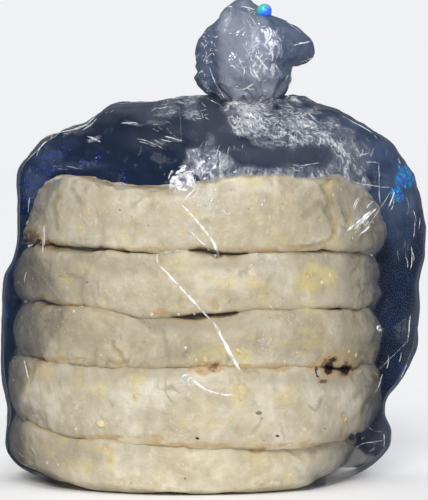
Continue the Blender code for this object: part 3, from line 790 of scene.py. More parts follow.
def make_film(material, outline):
    cols = 400
    theta, p, kinds = film_grid(cols)
    n = grid_normals(p)
    x, y, z = p[..., 0], p[..., 1], p[..., 2]
    roof = np.array([t for kind, t in kinds])[:, None] * np.ones(cols)
    on_wall = np.array([kind in ("wall", "fillet") for kind, t in kinds])[:, None] * np.ones(cols)
    base = np.array([kind == "base" for kind, t in kinds])[:, None] * np.ones(cols)
    ang = np.ones(len(kinds))[:, None] * theta[None, :]
    c = np.cos(ang)

    # how far the film stands off the cakes
    right_pocket = smooth(0.72, 0.95, c) * smooth(19.0, 30.0, z)
    headspace = smooth(80.0, 86.0, z)
    slack = np.maximum(np.maximum(right_pocket, headspace), 0.45 * smooth(0.86, 0.98, -c))

    d = np.zeros_like(z)
    # long soft folds of slack film
    d += (0.95 * noise(p * np.array([1.0, 1.0, 0.45]), 19.0, 400)) * (0.22 + 0.78 * slack)
    # facets, large to small
    d += 1.35 * crumple(p, 15.0, 410) * (0.10 + 0.90 * headspace) * (1.0 - base)
    d += 0.62 * crumple(p, 6.5, 411) * (0.10 + 0.62 * slack + 0.28 * headspace) * (1.0 - base)
    d += 0.20 * crumple(p, 2.9, 412) * (0.14 + 0.55 * slack + 0.31 * headspace) * (1.0 - base)
    # gathers that run up the roof into the neck
    rho = np.hypot(x - NECK_X, y)
    phi = np.arctan2(y, x - NECK_X)
    wander = 0.35 * noise(np.stack([x, y, z * 0 + 3.0], axis=-1), 17.0, 420)
    near_neck = np.exp(-np.clip(rho - 11.0, 0, None) / 11.0) * smooth(0.0, 0.15, roof)
    pleat = (triangle_wave(13.0 * phi / TAU + wander) + 0.6 * triangle_wave(29.0 * phi / TAU + 1.7 * wander + 0.3)
             + 0.35 * triangle_wave(53.0 * phi / TAU + 2.3 * wander))
    d += 0.95 * pleat * near_neck
    far = np.exp(-np.clip(rho - 11.0, 0, None) / 24.0) * smooth(0.0, 0.1, roof)
    d += 0.55 * triangle_wave(17.0 * phi / TAU + 1.4 * wander + 0.2) * far
    # patches full of fine folds
    front = smooth(4.0, -6.0, y)
    patch = np.zeros_like(z)
    soft = noise(p, 4.0, 430) * 0.4
    fx, fz = front_view(p)
    painted_highlight = spots(p, PAINTED_HIGHLIGHTS, 432, 0.45, 2.6)
    rolled, _ = polyline_distance(fx, fz, [px(*r) for r in ROLL])
    roll = smooth(4.2, 1.2, rolled + 1.0 * noise(p, 6.0, 433)) * front * smooth(0.02, 0.2, roof)
    for x0, z0, rx, rz, s in CRINKLE:
        dist = np.sqrt(((fx - x0) / rx) ** 2 + ((fz - z0) / rz) ** 2) + soft
        patch = np.maximum(patch, s * smooth(1.2, 0.6, dist) * front)
    # behind, the film is creased only round the neck
    stray = 0.80 * smooth(36.0, 15.0, rho + 9.0 * noise(p, 11.0, 431)) * smooth(-0.45, 0.35, noise(p, 7.0, 434))
    patch = np.maximum(patch, stray * smooth(0.02, 0.3, roof) * (1.0 - front))
    patch = patch * (1.0 - 0.9 * roll)
    fine = crumple(p * np.array([1.0, 1.0, 0.55]), 1.9, 440)
    d += 0.20 * fine * patch + 0.30 * crumple(p, 1.5, 441) * painted_highlight
    # pinned to the cakes on the front and back
    d = np.where(on_wall > 0.5, np.clip(d, -0.45 - 1.4 * slack, 0.8 + 1.2 * slack), d)
    d *= smooth(-0.001, 4.0, z) * (1.0 - base)
    q = p + n * d[..., None]
    q[-1] = q[-1].mean(axis=0)
    # a step in the left shoulder and a drop at the right one
    high = smooth(82.0, 88.0, z)
    q[..., 2] += high * (-1.7 * hump(-35.5, 5.5, x) + 0.7 * hump(-27.5, 4.0, x) + 0.9 * hump(38.0, 8.0, x) - 1.2 * smooth(51.0, 56.0, x))
    q[..., 2] = np.maximum(q[..., 2], 0.02)

    # navy where the film stands loose, clear where it lies on the cakes
    heights, stack_left, stack_right, places, stack_top = outline
    qx, qz = front_view(q)
    above = smooth(-1.15, -0.25, qz - np.interp(qx, places, stack_top) + 0.25 * noise(p, 4.0, 450))
    cake_right, cake_left = np.interp(qz, heights, stack_right), np.interp(qz, heights, stack_left)
    wobble = 0.25 * noise(p, 4.0, 451)
    beside = np.maximum(smooth(-1.15, -0.25, qx - cake_right + wobble), smooth(1.15, 0.25, qx - cake_left + wobble))
    loose = np.maximum(above, beside * smooth(0.0, 2.5, z))
    dim = np.maximum(smooth(-11.0, 1.0, qx - cake_right), smooth(9.0, -1.0, qx - cake_left))
    ends = np.maximum(smooth(6.0, -0.8, qx - cake_left) * smooth(64.0, 58.0, qz),
                      smooth(-7.0, 0.6, qx - cake_right) * smooth(74.0, 66.0, qz))
    inside = smooth(-0.55, 0.10, qx - cake_left) * smooth(0.55, -0.10, qx - cake_right) * (1.0 - above)
    dim = (0.52 * dim + 0.48 * make_veil(qx, qz) + 0.40 * ends) * inside * smooth(8.0, -5.0, y)
    # painted glints: rainbow specks on the right of the bag and blue sparkles on the left
    painted_rainbow_glint = spots(q, [(*px(404, 180), 2.6, 4.0, 1.4), (*px(398, 193), 2.8, 2.4, 1.2)], 460, 0.5)
    painted_blue_sparkle = spots(q, [(*px(x0, y0), rx, rz, s0) for x0, y0, rx, rz, s0 in (
        (33, 176, 2.6, 3.0, 0.9), (48, 166, 2.8, 4.2, 0.8), (24, 194, 2.4, 6.0, 0.9), (95, 158, 1.6, 1.8, 0.8),
        (84, 165, 1.8, 1.2, 0.9), (123, 173, 1.4, 1.8, 0.9), (62, 154, 2.2, 2.0, 0.5), (6, 312, 1.0, 3.0, 0.5),
        (112, 152, 0.8, 0.6, 0.6), (36, 198, 4.0, 3.0, 0.5), (54, 184, 4.0, 2.0, 0.35), (124, 184, 1.6, 0.8, 0.5),
        (402, 367, 1.0, 1.0, 0.5), (81, 190, 2.0, 1.0, 0.5))], 461, 0.5)
    band = 0.65 * smooth(0.970, 0.997, np.abs(c) + 0.010 * noise(p, 7.0, 452)) * smooth(-0.6, 0.3, noise(p, 15.0, 453))
    edge = smooth(-17.0, -8.0, y + 1.6 * noise(p, 6.0, 456)) * smooth(6.5, 3.5, y) * smooth(0.80, 0.94, np.abs(c))
    band = np.maximum(band, edge) * (1.0 - base)    # layers of film doubled along the bag's sides
    gather = smooth(19.0, 12.0, rho + 1.6 * noise(p, 7.0, 455)) * smooth(0.25, 0.6, roof)
    attributes = {"loose": loose, "patch": patch, "dim": dim, "painted_rainbow_glint": painted_rainbow_glint, "painted_blue_sparkle": painted_blue_sparkle,
                  "painted_highlight": painted_highlight, "roll": roll, "band": band, "gather": gather}
    rows = q.shape[0]
    obj = make_piece("bag_film", q, grid_faces(rows, cols), material, attributes)
    return obj, q, theta


FOLD_Y = 3.5


def make_fold(material, outline, film_q):
    """The surplus film inside the bag, folded flat from the stack's outline out to the bag's outline."""
    heights, stack_left, stack_right, places, stack_top = outline
    shrink = VIEW_FAR / (VIEW_FAR + FOLD_Y)
    steps, points, faces, attributes = 26, [], [], {"blue": [], "haze": [], "smoke_and_painted_light": []}
    for sign in (-1.0, 1.0):
        rim = []                                    # the film where it crosses the fold's plane, neck to base
        for row in film_q[:-14]:
            y0, y1 = row[:, 1], np.roll(row[:, 1], -1)
            cross = np.flatnonzero((y0 - FOLD_Y) * (y1 - FOLD_Y) <= 0.0)
            at = []
            for j in cross:
                a, b = row[j], row[(j + 1) % len(row)]
                t = (FOLD_Y - a[1]) / (b[1] - a[1]) if b[1] != a[1] else 0.0
                at.append(a + (b - a) * t)
            at = [q for q in at if (q[0] - 6.0) * sign > 0.0]
            if at:
                rim.append(min(at, key=lambda q: q[0] * sign)[[0, 2]])
        rim = np.array(rim)
        rim[1:-1] = 0.25 * rim[:-2] + 0.5 * rim[1:-1] + 0.25 * rim[2:]
        middle = NECK_X + (rim[0, 0] - NECK_X) * np.linspace(0.0, 1.0, 14)[:-1]
        rim = np.concatenate([np.stack([middle, np.full(13, rim[0, 1])], axis=-1), rim])
        way = np.gradient(rim, axis=0)
        inward = np.stack([way[:, 1], -way[:, 0]], axis=-1) * sign
        inward /= np.maximum(np.linalg.norm(inward, axis=1, keepdims=True), 1e-9)
        rim = rim + 0.14 * inward
        side = stack_left if sign < 0 else stack_right
        if sign < 0:                                # into the notches between the cakes
            side = np.maximum(np.maximum(side, np.roll(side, 1)), np.roll(side, -1)) + 0.15
        else:
            side = np.minimum(np.minimum(side, np.roll(side, 1)), np.roll(side, -1)) - 0.15
        turn = np.interp(79.5, heights, side) / shrink
        reach = np.abs(rim[:, 0] - NECK_X)
        shoulder = reach[rim[:, 1] < 80.0].max() if np.any(rim[:, 1] < 80.0) else reach.max()
        start = len(points)
        kept = 0
        for i, (x, z) in enumerate(rim):
            if z < 2.0:
                break
            if z < 79.5:
                inner = (np.interp(VIEW_HIGH + (z - VIEW_HIGH) * shrink, heights, side) / shrink - 0.15 * sign, z)
                if z < 11.0 and x * sign < inner[0] * sign + 0.25:
                    break
                x = max(x * sign, inner[0] * sign + 0.05) * sign
            else:
                part = min(1.0, abs(x - NECK_X) / shoulder)
                ix = NECK_X + (turn - NECK_X) * part
                iz = np.interp(ix * shrink, places, stack_top)
                inner = (ix, VIEW_HIGH + (max(iz, 79.5) - VIEW_HIGH) / shrink - 0.15)
            t = np.linspace(0.0, 1.0, steps)
            line = np.stack([lerp(inner[0], x, t), np.full(steps, FOLD_Y), lerp(inner[1], z, t)], axis=-1)
            ease = np.clip(np.minimum(t, 1.0 - t) * 6.0, 0.0, 1.0)
            line[:, 1] += ease * (1.5 * crumple(line, 13.0, 480) + 0.7 * crumple(line, 5.5, 481) + 0.3 * crumple(line, 2.6, 482))
            points.extend(line.tolist())
            kept += 1
        for i in range(kept - 1):
            for j in range(steps - 1):
                a = start + i * steps + j
                quad = (a, a + 1, a + steps + 1, a + steps)
                faces.append(quad if sign < 0 else quad[::-1])
    p = np.array(points)
    qx, qz = front_view(p)
    x, z = p[:, 0], p[:, 2]
    blue = smooth(101.0, 84.0, z) * smooth(14.0, -30.0, x)
    blue = np.maximum(blue * smooth(76.0, 82.0, z), 0.55 * smooth(-40.0, -50.0, x) * smooth(84.0, 60.0, z))
    soft = 0.2 * noise(p, 4.0, 430)
    for key, table in (("haze", HAZE), ("smoke_and_painted_light", SMOKY_AND_PAINTED_LIGHT)):
        value = np.zeros(len(p))
        for x0, z0, rx, rz, s0 in table:
            dist = np.sqrt(((qx - x0) / rx) ** 2 + ((qz - z0) / rz) ** 2) + soft
            value = np.maximum(value, s0 * smooth(1.25, 0.25, dist))
        attributes[key] = value
    attributes["blue"] = blue
    return make_piece("inner_fold", p, faces, material, attributes)


# ================================================================ the tuft above the neck
TUFT = (  # height, left x, right x, half depth
    (101.2, 2.2, 16.4, 6.4), (103.4, 1.4, 17.0, 7.0), (105.1, 0.2, 18.8, 8.2), (107.6, -3.4, 20.6, 9.0),
    (110.0, -4.2, 21.2, 9.8), (112.5, -4.3, 21.2, 10.2), (113.9, -4.3, 22.2, 10.2), (115.3, -4.2, 25.5, 10.2),
    (117.2, -3.8, 27.4, 10.0), (120.8, -2.6, 25.6, 9.4), (123.5, -0.4, 21.8, 8.6), (126.8, 1.4, 16.6, 7.2),
    (129.0, 2.9, 13.4, 5.4), (130.6, 4.6, 11.2, 3.4), (131.9, 6.0, 9.0, 1.0),
)
# creases on the front of the tuft, painted as highlights: points in the front view, width mm, height mm, painted
# brightness
TUFT_CREASES = (
    (((268, 27), (271, 33), (268, 41), (263, 47)), 0.95, 0.5, 0.95), (((272, 30), (276, 37), (281, 41)), 0.55, 0.4, 0.85),
    (((276, 40), (273, 46), (268, 56)), 0.80, 0.4, 0.75), (((255, 56), (261, 63), (268, 71)), 1.10, 0.5, 0.9),
    (((264, 52), (258, 60), (251, 69)), 0.90, 0.4, 0.8), (((252, 68), (255, 75), (260, 82)), 0.95, 0.5, 1.0),
    (((238, 58), (241, 65), (244, 71), (243, 78)), 0.60, 0.4, 0.9), (((237, 66), (242, 69), (247, 67)), 0.50, 0.3, 0.7),
    (((250, 66), (250, 72), (254, 78)), 0.70, 0.4, 0.8), (((255, 74), (262, 82), (266, 80)), 0.50, 0.3, 0.7),
    (((241, 91), (247, 88), (254, 84)), 0.70, 0.4, 0.85), (((245, 87), (249, 90), (255, 89)), 0.45, 0.3, 0.7),
    (((241, 43), (247, 52), (253, 62)), 0.28, 0.2, 0.7), (((223, 57), (231, 64), (240, 73)), 0.30, 0.2, 0.4),
    (((209, 67), (213, 79), (219, 90), (225, 100)), 0.55, 0.3, 0.75), (((292, 46), (301, 44), (312, 41)), 0.34, 0.2, 0.7),
    (((298, 44), (303, 43.5), (308, 42.6)), 0.60, 0.3, 1.0), (((299, 62), (306, 60), (314, 57)), 0.55, 0.3, 0.9),
    (((240, 7), (249, 9), (257, 12), (266, 17)), 0.55, 0.3, 0.75), (((248, 15), (252, 20), (256, 26)), 0.40, 0.3, 0.6),
    (((226, 8), (229, 7), (233, 8)), 0.70, 0.3, 0.9), (((219, 12), (221, 12.5), (222, 14)), 0.90, 0.3, 1.0),
    (((212, 31), (222, 30), (237, 31)), 0.26, 0.2, 0.35), (((291, 68), (290, 78), (287, 90)), 0.36, 0.2, 0.5),
    (((276, 62), (273, 72), (270, 84)), 0.30, 0.2, 0.35), (((259, 24), (256, 32), (258, 40)), 0.30, 0.2, 0.35),
    (((232, 38), (238, 34), (246, 34)), 0.30, 0.2, 0.35), (((283, 22), (292, 27), (301, 34)), 0.30, 0.2, 0.40),
    (((246, 20), (250, 26), (252, 34)), 0.50, 0.3, 0.40), (((228, 80), (236, 84), (243, 92)), 0.26, 0.2, 0.35),
)


def tuft_sparkles():
    """Painted highlights: short glinting ticks where the crumpled edge of the tuft catches the light."""
    lines = []
    for b, (x, y, rx, ry, count, painted_brightness) in enumerate((
            (209, 42, 7, 14, 26, 0.85), (203, 74, 4, 18, 20, 0.75), (220, 18, 10, 8, 12, 0.65), (212, 88, 9, 7, 12, 0.60),
            (262, 50, 14, 22, 18, 0.60), (288, 84, 3, 10, 8, 0.60), (252, 80, 16, 12, 12, 0.50), (246, 12, 16, 3, 14, 0.75),
            (312, 58, 6, 4, 6, 0.6))):
        for i in range(count):
            u, v, w, t = (float(scatter_value(i, b, k, 780)) for k in range(4))
            a = math.pi * w
            half = 1.1 + 1.1 * abs(t) + 0.8 * max(0.0, v)
            cx, cy = x + rx * u, y + ry * v
            line = [(cx + math.cos(a) * half * q, cy + math.sin(a) * half * q) for q in (-1.0, -0.3, 0.4, 1.0)]
            lines.append((line, 0.30 + 0.18 * abs(u), 0.25, painted_brightness * (0.35 + 0.75 * abs(w))))
    return lines


def make_tuft(material, name, shrink, seed, cols, rows, roughness):
    theta = front_angles(cols)
    t = np.linspace(0.0, 1.0, rows)
    heights = lerp(TUFT[-1][0] - (1.0 - shrink) * 6.0, TUFT[0][0], t ** 0.9)
    p = np.zeros((rows, cols, 3))
    for i, h in enumerate(heights):
        left, right, deep = (float(along(h, TUFT, c)) for c in (1, 2, 3))
        mid, half = 0.5 * (left + right), 0.5 * (right - left) * shrink
        deep *= shrink
        c, s = np.cos(theta), np.sin(theta)
        p[i, :, 0] = mid + half * np.sign(c) * np.abs(c) ** 0.92
        p[i, :, 1] = deep * np.sign(s) * np.abs(s) ** 0.85
        p[i, :, 2] = h
    n = grid_normals(p)
    lift = ((p[..., 2] - NECK_Z) / 28.0)
    strong = smooth(-0.05, 0.25, lift)
    left_edge = smooth(2.0, -3.0, p[..., 0])
    d = 1.50 * crumple(p, np.array([9.0, 9.0, 11.0]), seed) * strong
    d += 0.85 * crumple(p, np.array([4.2, 4.2, 5.2]), seed + 1) * (0.35 + 0.65 * strong)
    d += (0.20 + 0.55 * left_edge) * crumple(p, 2.3, seed + 2) * roughness
    d += 0.95 * left_edge * crumple(p, 3.6, seed + 9) * roughness
    phi = np.ones(rows)[:, None] * theta[None, :]
    wander = 0.5 * noise(p, 9.0, seed + 3)
    d += 0.50 * triangle_wave(11.0 * phi / TAU + wander) * smooth(0.30, 0.0, lift)
    d += 0.25 * triangle_wave(25.0 * phi / TAU + 2.0 * wander) * smooth(0.25, -0.05, lift)
    d = np.clip(d, -2.4, 1.5)
    q = p + n * d[..., None]
    q[0] = q[0].mean(axis=0)
    q[..., 2] = np.minimum(q[..., 2], 132.8)
    x, z = q[..., 0], q[..., 2]
    patch = (0.15 + 0.45 * smooth(0.0, 0.6, noise(p, 8.0, seed + 5))) * roughness
    tone = smooth(18.5, 13.5, x + 0.10 * (z - 115.0) + 1.2 * noise(p, 6.0, seed + 6)) * smooth(0.2, 3.2, x + 0.8 * noise(p, 4.0, seed + 4))
    tone = tone * (1.0 - 0.6 * smooth(125.5, 129.0, z)) * (0.78 + 0.45 * noise(p, 9.0, seed + 7))
    tone = tone + 0.25 * smooth(110.5, 106.5, z) * smooth(2.0, 6.0, x) * smooth(18.0, 15.0, x)
    painted_highlight = hump(13.8, 4.0, x) * smooth(109.0, 112.0, z) * smooth(125.0, 121.0, z)
    painted_highlight = np.maximum(painted_highlight, 0.30 * smooth(0.3, 0.7, noise(p, 6.0, seed + 8)))
    attributes = {"patch": patch, "painted_rainbow_glint": np.zeros_like(x), "tone": np.clip(tone, 0, 1), "painted_highlight": painted_highlight * roughness}
    return make_piece(name, q, grid_faces(rows, cols), material, attributes), q


def make_glint_bead(material):
    """The small knob of film at the top of the tuft, its rainbow colours a painted reflection."""
    rows, cols = 30, 48
    theta = TAU * np.arange(cols) / cols
    a = np.linspace(0.0, math.pi, rows)
    unit = np.stack([np.sin(a)[:, None] * np.cos(theta), np.sin(a)[:, None] * np.sin(theta),
                     np.cos(a)[:, None] * np.ones(cols)], axis=-1)
    size = np.array([2.15, 2.0, 2.15]) * (1.0 + 0.06 * crumple(unit * 2.0, 1.3, 790) + 0.05 * noise(unit, 1.1, 791))[..., None]
    fx, fz = px(263.5, 12.0)
    q = unit * size + np.array([fx, -4.6, fz - 0.2])
    return make_piece("tuft_rainbow_glint", q, grid_faces(rows, cols), material)


# ================================================================ materials
def new_material(name):
    mat = bpy.data.materials.new(name)
    mat.use_nodes = True
    nodes, links = mat.node_tree.nodes, mat.node_tree.links
    nodes.clear()
    return mat, nodes, links


class Graph:
    """Short names for the nodes that the materials use."""

    def __init__(self, name):
        self.mat, self.nodes, self.links = new_material(name)
        self.out = self.nodes.new("ShaderNodeOutputMaterial")
        coords = self.nodes.new("ShaderNodeTexCoord")
        self.place = coords.outputs["Object"]

    def set(self, socket, value):
        if isinstance(value, bpy.types.NodeSocket):
            self.links.new(value, socket)
        elif isinstance(value, (tuple, list)):
            socket.default_value = (*value, 1.0) if len(value) == 3 and len(socket.default_value) == 4 else value
        else:
            socket.default_value = value

    def attribute(self, name):
        node = self.nodes.new("ShaderNodeAttribute")
        node.attribute_name = name
        return node.outputs["Fac"]

    def math(self, operation, a, b=0.0, clamp=False):
        node = self.nodes.new("ShaderNodeMath")
        node.operation = operation
        node.use_clamp = clamp
        self.set(node.inputs[0], a)
        self.set(node.inputs[1], b)
        return node.outputs[0]

    def ramp(self, value, low, high, to_low=0.0, to_high=1.0):
        node = self.nodes.new("ShaderNodeMapRange")
        node.interpolation_type = "SMOOTHSTEP"
        self.set(node.inputs["Value"], value)
        node.inputs["From Min"].default_value = low
        node.inputs["From Max"].default_value = high
        node.inputs["To Min"].default_value = to_low
        node.inputs["To Max"].default_value = to_high
        return node.outputs["Result"]

    def mix(self, factor, a, b):
        node = self.nodes.new("ShaderNodeMix")
        node.data_type = "RGBA"
        self.set(node.inputs["Factor"], factor)
        self.set(node.inputs["A"], a)
        self.set(node.inputs["B"], b)
        return node.outputs["Result"]

    def noise(self, size_mm, detail=3.0, rough=0.5, distortion=0.0, stretch=None):
        place = self.place
        if stretch is not None:
            mapping = self.nodes.new("ShaderNodeMapping")
            mapping.inputs["Scale"].default_value = stretch
            self.links.new(place, mapping.inputs["Vector"])
            place = mapping.outputs["Vector"]
        node = self.nodes.new("ShaderNodeTexNoise")
        node.inputs["Scale"].default_value = 1000.0 / size_mm
        node.inputs["Detail"].default_value = detail
        node.inputs["Roughness"].default_value = rough
        node.inputs["Distortion"].default_value = distortion
        self.links.new(place, node.inputs["Vector"])
        return node.outputs["Fac"]

    def voronoi(self, size_mm, feature="F1", stretch=None, randomness=1.0):
        place = self.place
        if stretch is not None:
            mapping = self.nodes.new("ShaderNodeMapping")
            mapping.inputs["Scale"].default_value = stretch
            self.links.new(place, mapping.inputs["Vector"])
            place = mapping.outputs["Vector"]
        node = self.nodes.new("ShaderNodeTexVoronoi")
        node.feature = feature
        node.inputs["Scale"].default_value = 1000.0 / size_mm
        node.inputs["Randomness"].default_value = randomness
        self.links.new(place, node.inputs["Vector"])
        return node.outputs["Distance"]

    def bump(self, height, distance, strength=1.0, normal=None):
        node = self.nodes.new("ShaderNodeBump")
        self.set(node.inputs["Strength"], strength)
        node.inputs["Distance"].default_value = distance
        self.links.new(height, node.inputs["Height"])
        if normal is not None:
            self.links.new(normal, node.inputs["Normal"])
        return node.outputs["Normal"]

    def shader(self, kind, **values):
        node = self.nodes.new(kind)
        for key, value in values.items():
            self.set(node.inputs[key.replace("_", " ")], value)
        return node

    def finish(self, surface):
        self.links.new(surface, self.out.inputs["Surface"])
        return self.mat


def cake_material(name, tone, warm):
    g = Graph(name)
    yellow, toast, char, painted_hollow_shade, pale, cool, glow, painted_shade_and_tone, crack_and_shade = (
        g.attribute(k) for k in ("yellow", "toast", "char", "painted_hollow_shade", "pale", "cool", "glow", "painted_shade_and_tone", "crack_and_shade"))
    cloud = g.noise(10.0, 4.0, 0.58, 0.15)
    mottle = g.noise(4.4, 5.0, 0.62, 0.15)
    small = g.noise(1.6, 4.0, 0.62, 0.1)
    speck = g.noise(1.1, 3.0, 0.6)

    def shade(r, gr, b):
        return (r * tone * (1 + 0.03 * warm), gr * tone * (1 - 0.01 * warm), b * tone * (1 - 0.13 * warm))

    cream, tan = shade(0.605, 0.548, 0.422), shade(0.490, 0.425, 0.305)
    milk, ash = shade(0.715, 0.678, 0.592), shade(0.520, 0.494, 0.432)
    colour = g.mix(g.ramp(pale, -0.65, 0.75), tan, cream)
    colour = g.mix(g.math("MULTIPLY", cool, 0.62), colour, ash)
    colour = g.mix(g.ramp(pale, 0.10, 0.95, 0.0, 0.70), colour, milk)
    colour = g.mix(g.ramp(cloud, 0.46, 0.76, 0.0, 0.60), colour, milk)
    colour = g.mix(g.ramp(cloud, 0.50, 0.26, 0.0, 0.45), colour, tan)
    colour = g.mix(g.ramp(mottle, 0.50, 0.74, 0.0, 0.50), colour, milk)
    colour = g.mix(g.ramp(mottle, 0.48, 0.27, 0.0, 0.45), colour, ash)
    colour = g.mix(g.ramp(small, 0.52, 0.72, 0.0, 0.50), colour, milk)
    colour = g.mix(g.ramp(small, 0.46, 0.26, 0.0, 0.34), colour, tan)
    # painted shade in the hollows between lumps
    colour = g.mix(g.math("MULTIPLY", painted_hollow_shade, 0.48), colour, shade(0.400, 0.345, 0.245))
    # painted shade on the front where the table puts it, random darker patches on the back
    colour = g.mix(g.math("MULTIPLY", painted_shade_and_tone, 0.85, True), colour, shade(0.385, 0.340, 0.258))
    # painted shade along the cracks
    colour = g.mix(g.math("MULTIPLY", crack_and_shade, g.ramp(small, 0.25, 0.60, 0.45, 0.80)), colour, shade(0.285, 0.230, 0.140))
    # hulls and germ: yellow, patchy within each blotch
    inner = g.ramp(g.noise(2.4, 4.0, 0.65, 0.9), 0.30, 0.58, 0.25, 1.0)
    colour = g.mix(g.math("MULTIPLY", g.math("MULTIPLY", yellow, inner), 0.68), colour, (0.600, 0.490, 0.185))
    hull = g.math("MULTIPLY", g.ramp(g.voronoi(6.5, randomness=1.0), 0.17, 0.10), g.ramp(g.noise(15.0), 0.48, 0.60))
    colour = g.mix(g.math("MULTIPLY", hull, 0.50), colour, (0.58, 0.43, 0.14))
    # amber along the pressed edges
    colour = g.mix(g.math("MULTIPLY", glow, g.ramp(mottle, 0.30, 0.60, 0.20, 0.62)), colour, (0.360, 0.262, 0.132))
    # toasted: straw, then brown
    edge = g.ramp(g.noise(1.8, 4.0, 0.65), 0.30, 0.70, 0.50, 1.15)
    toasted = g.math("MULTIPLY", toast, edge, True)
    colour = g.mix(g.ramp(toasted, 0.03, 0.50, 0.0, 0.76), colour, (0.400, 0.272, 0.118))
    colour = g.mix(g.ramp(toasted, 0.55, 1.0, 0.0, 0.85), colour, (0.130, 0.055, 0.018))
    colour = g.mix(g.ramp(g.math("MULTIPLY", char, g.ramp(speck, 0.2, 0.5, 0.75, 1.0)), 0.22, 0.62), colour,
                   (0.012, 0.008, 0.006))
    # painted highlights: tiny pale glints painted where moist points would catch the light, tiny dark bran flecks
    painted_glints = g.math("MULTIPLY", g.ramp(g.voronoi(1.7), 0.100, 0.055), g.ramp(g.noise(6.0, 3.0), 0.46, 0.58))
    colour = g.mix(g.math("MULTIPLY", painted_glints, 0.55), colour, (0.92, 0.91, 0.88))
    fleck = g.math("MULTIPLY", g.ramp(g.voronoi(3.0), 0.085, 0.045), g.ramp(g.noise(9.0), 0.48, 0.57))
    colour = g.mix(g.math("MULTIPLY", fleck, 0.80), colour, (0.10, 0.075, 0.05))
    height = g.math("ADD", g.math("MULTIPLY", g.noise(2.8, 6.0, 0.68), 1.0), g.math("MULTIPLY", g.voronoi(0.9), 0.20))
    normal = g.bump(height, 0.00055, 0.85)
    rough = g.ramp(mottle, 0.3, 0.7, 0.40, 0.58)
    body = g.shader("ShaderNodeBsdfPrincipled", Base_Color=colour, Roughness=rough, Normal=normal,
                    Subsurface_Weight=0.18, Subsurface_Radius=(0.0030, 0.0023, 0.0014), Subsurface_Scale=1.0,
                    Specular_IOR_Level=0.36)
    return g.finish(body.outputs["BSDF"])


NAVY = (0.0122, 0.0235, 0.0600)
SLATE = (0.0135, 0.0205, 0.0410)
DEEP_BLUE = (0.0112, 0.0205, 0.0510)
HAZE_BLUE = (0.0740, 0.1060, 0.1880)
SMOKE = (0.0980, 0.1050, 0.1300)


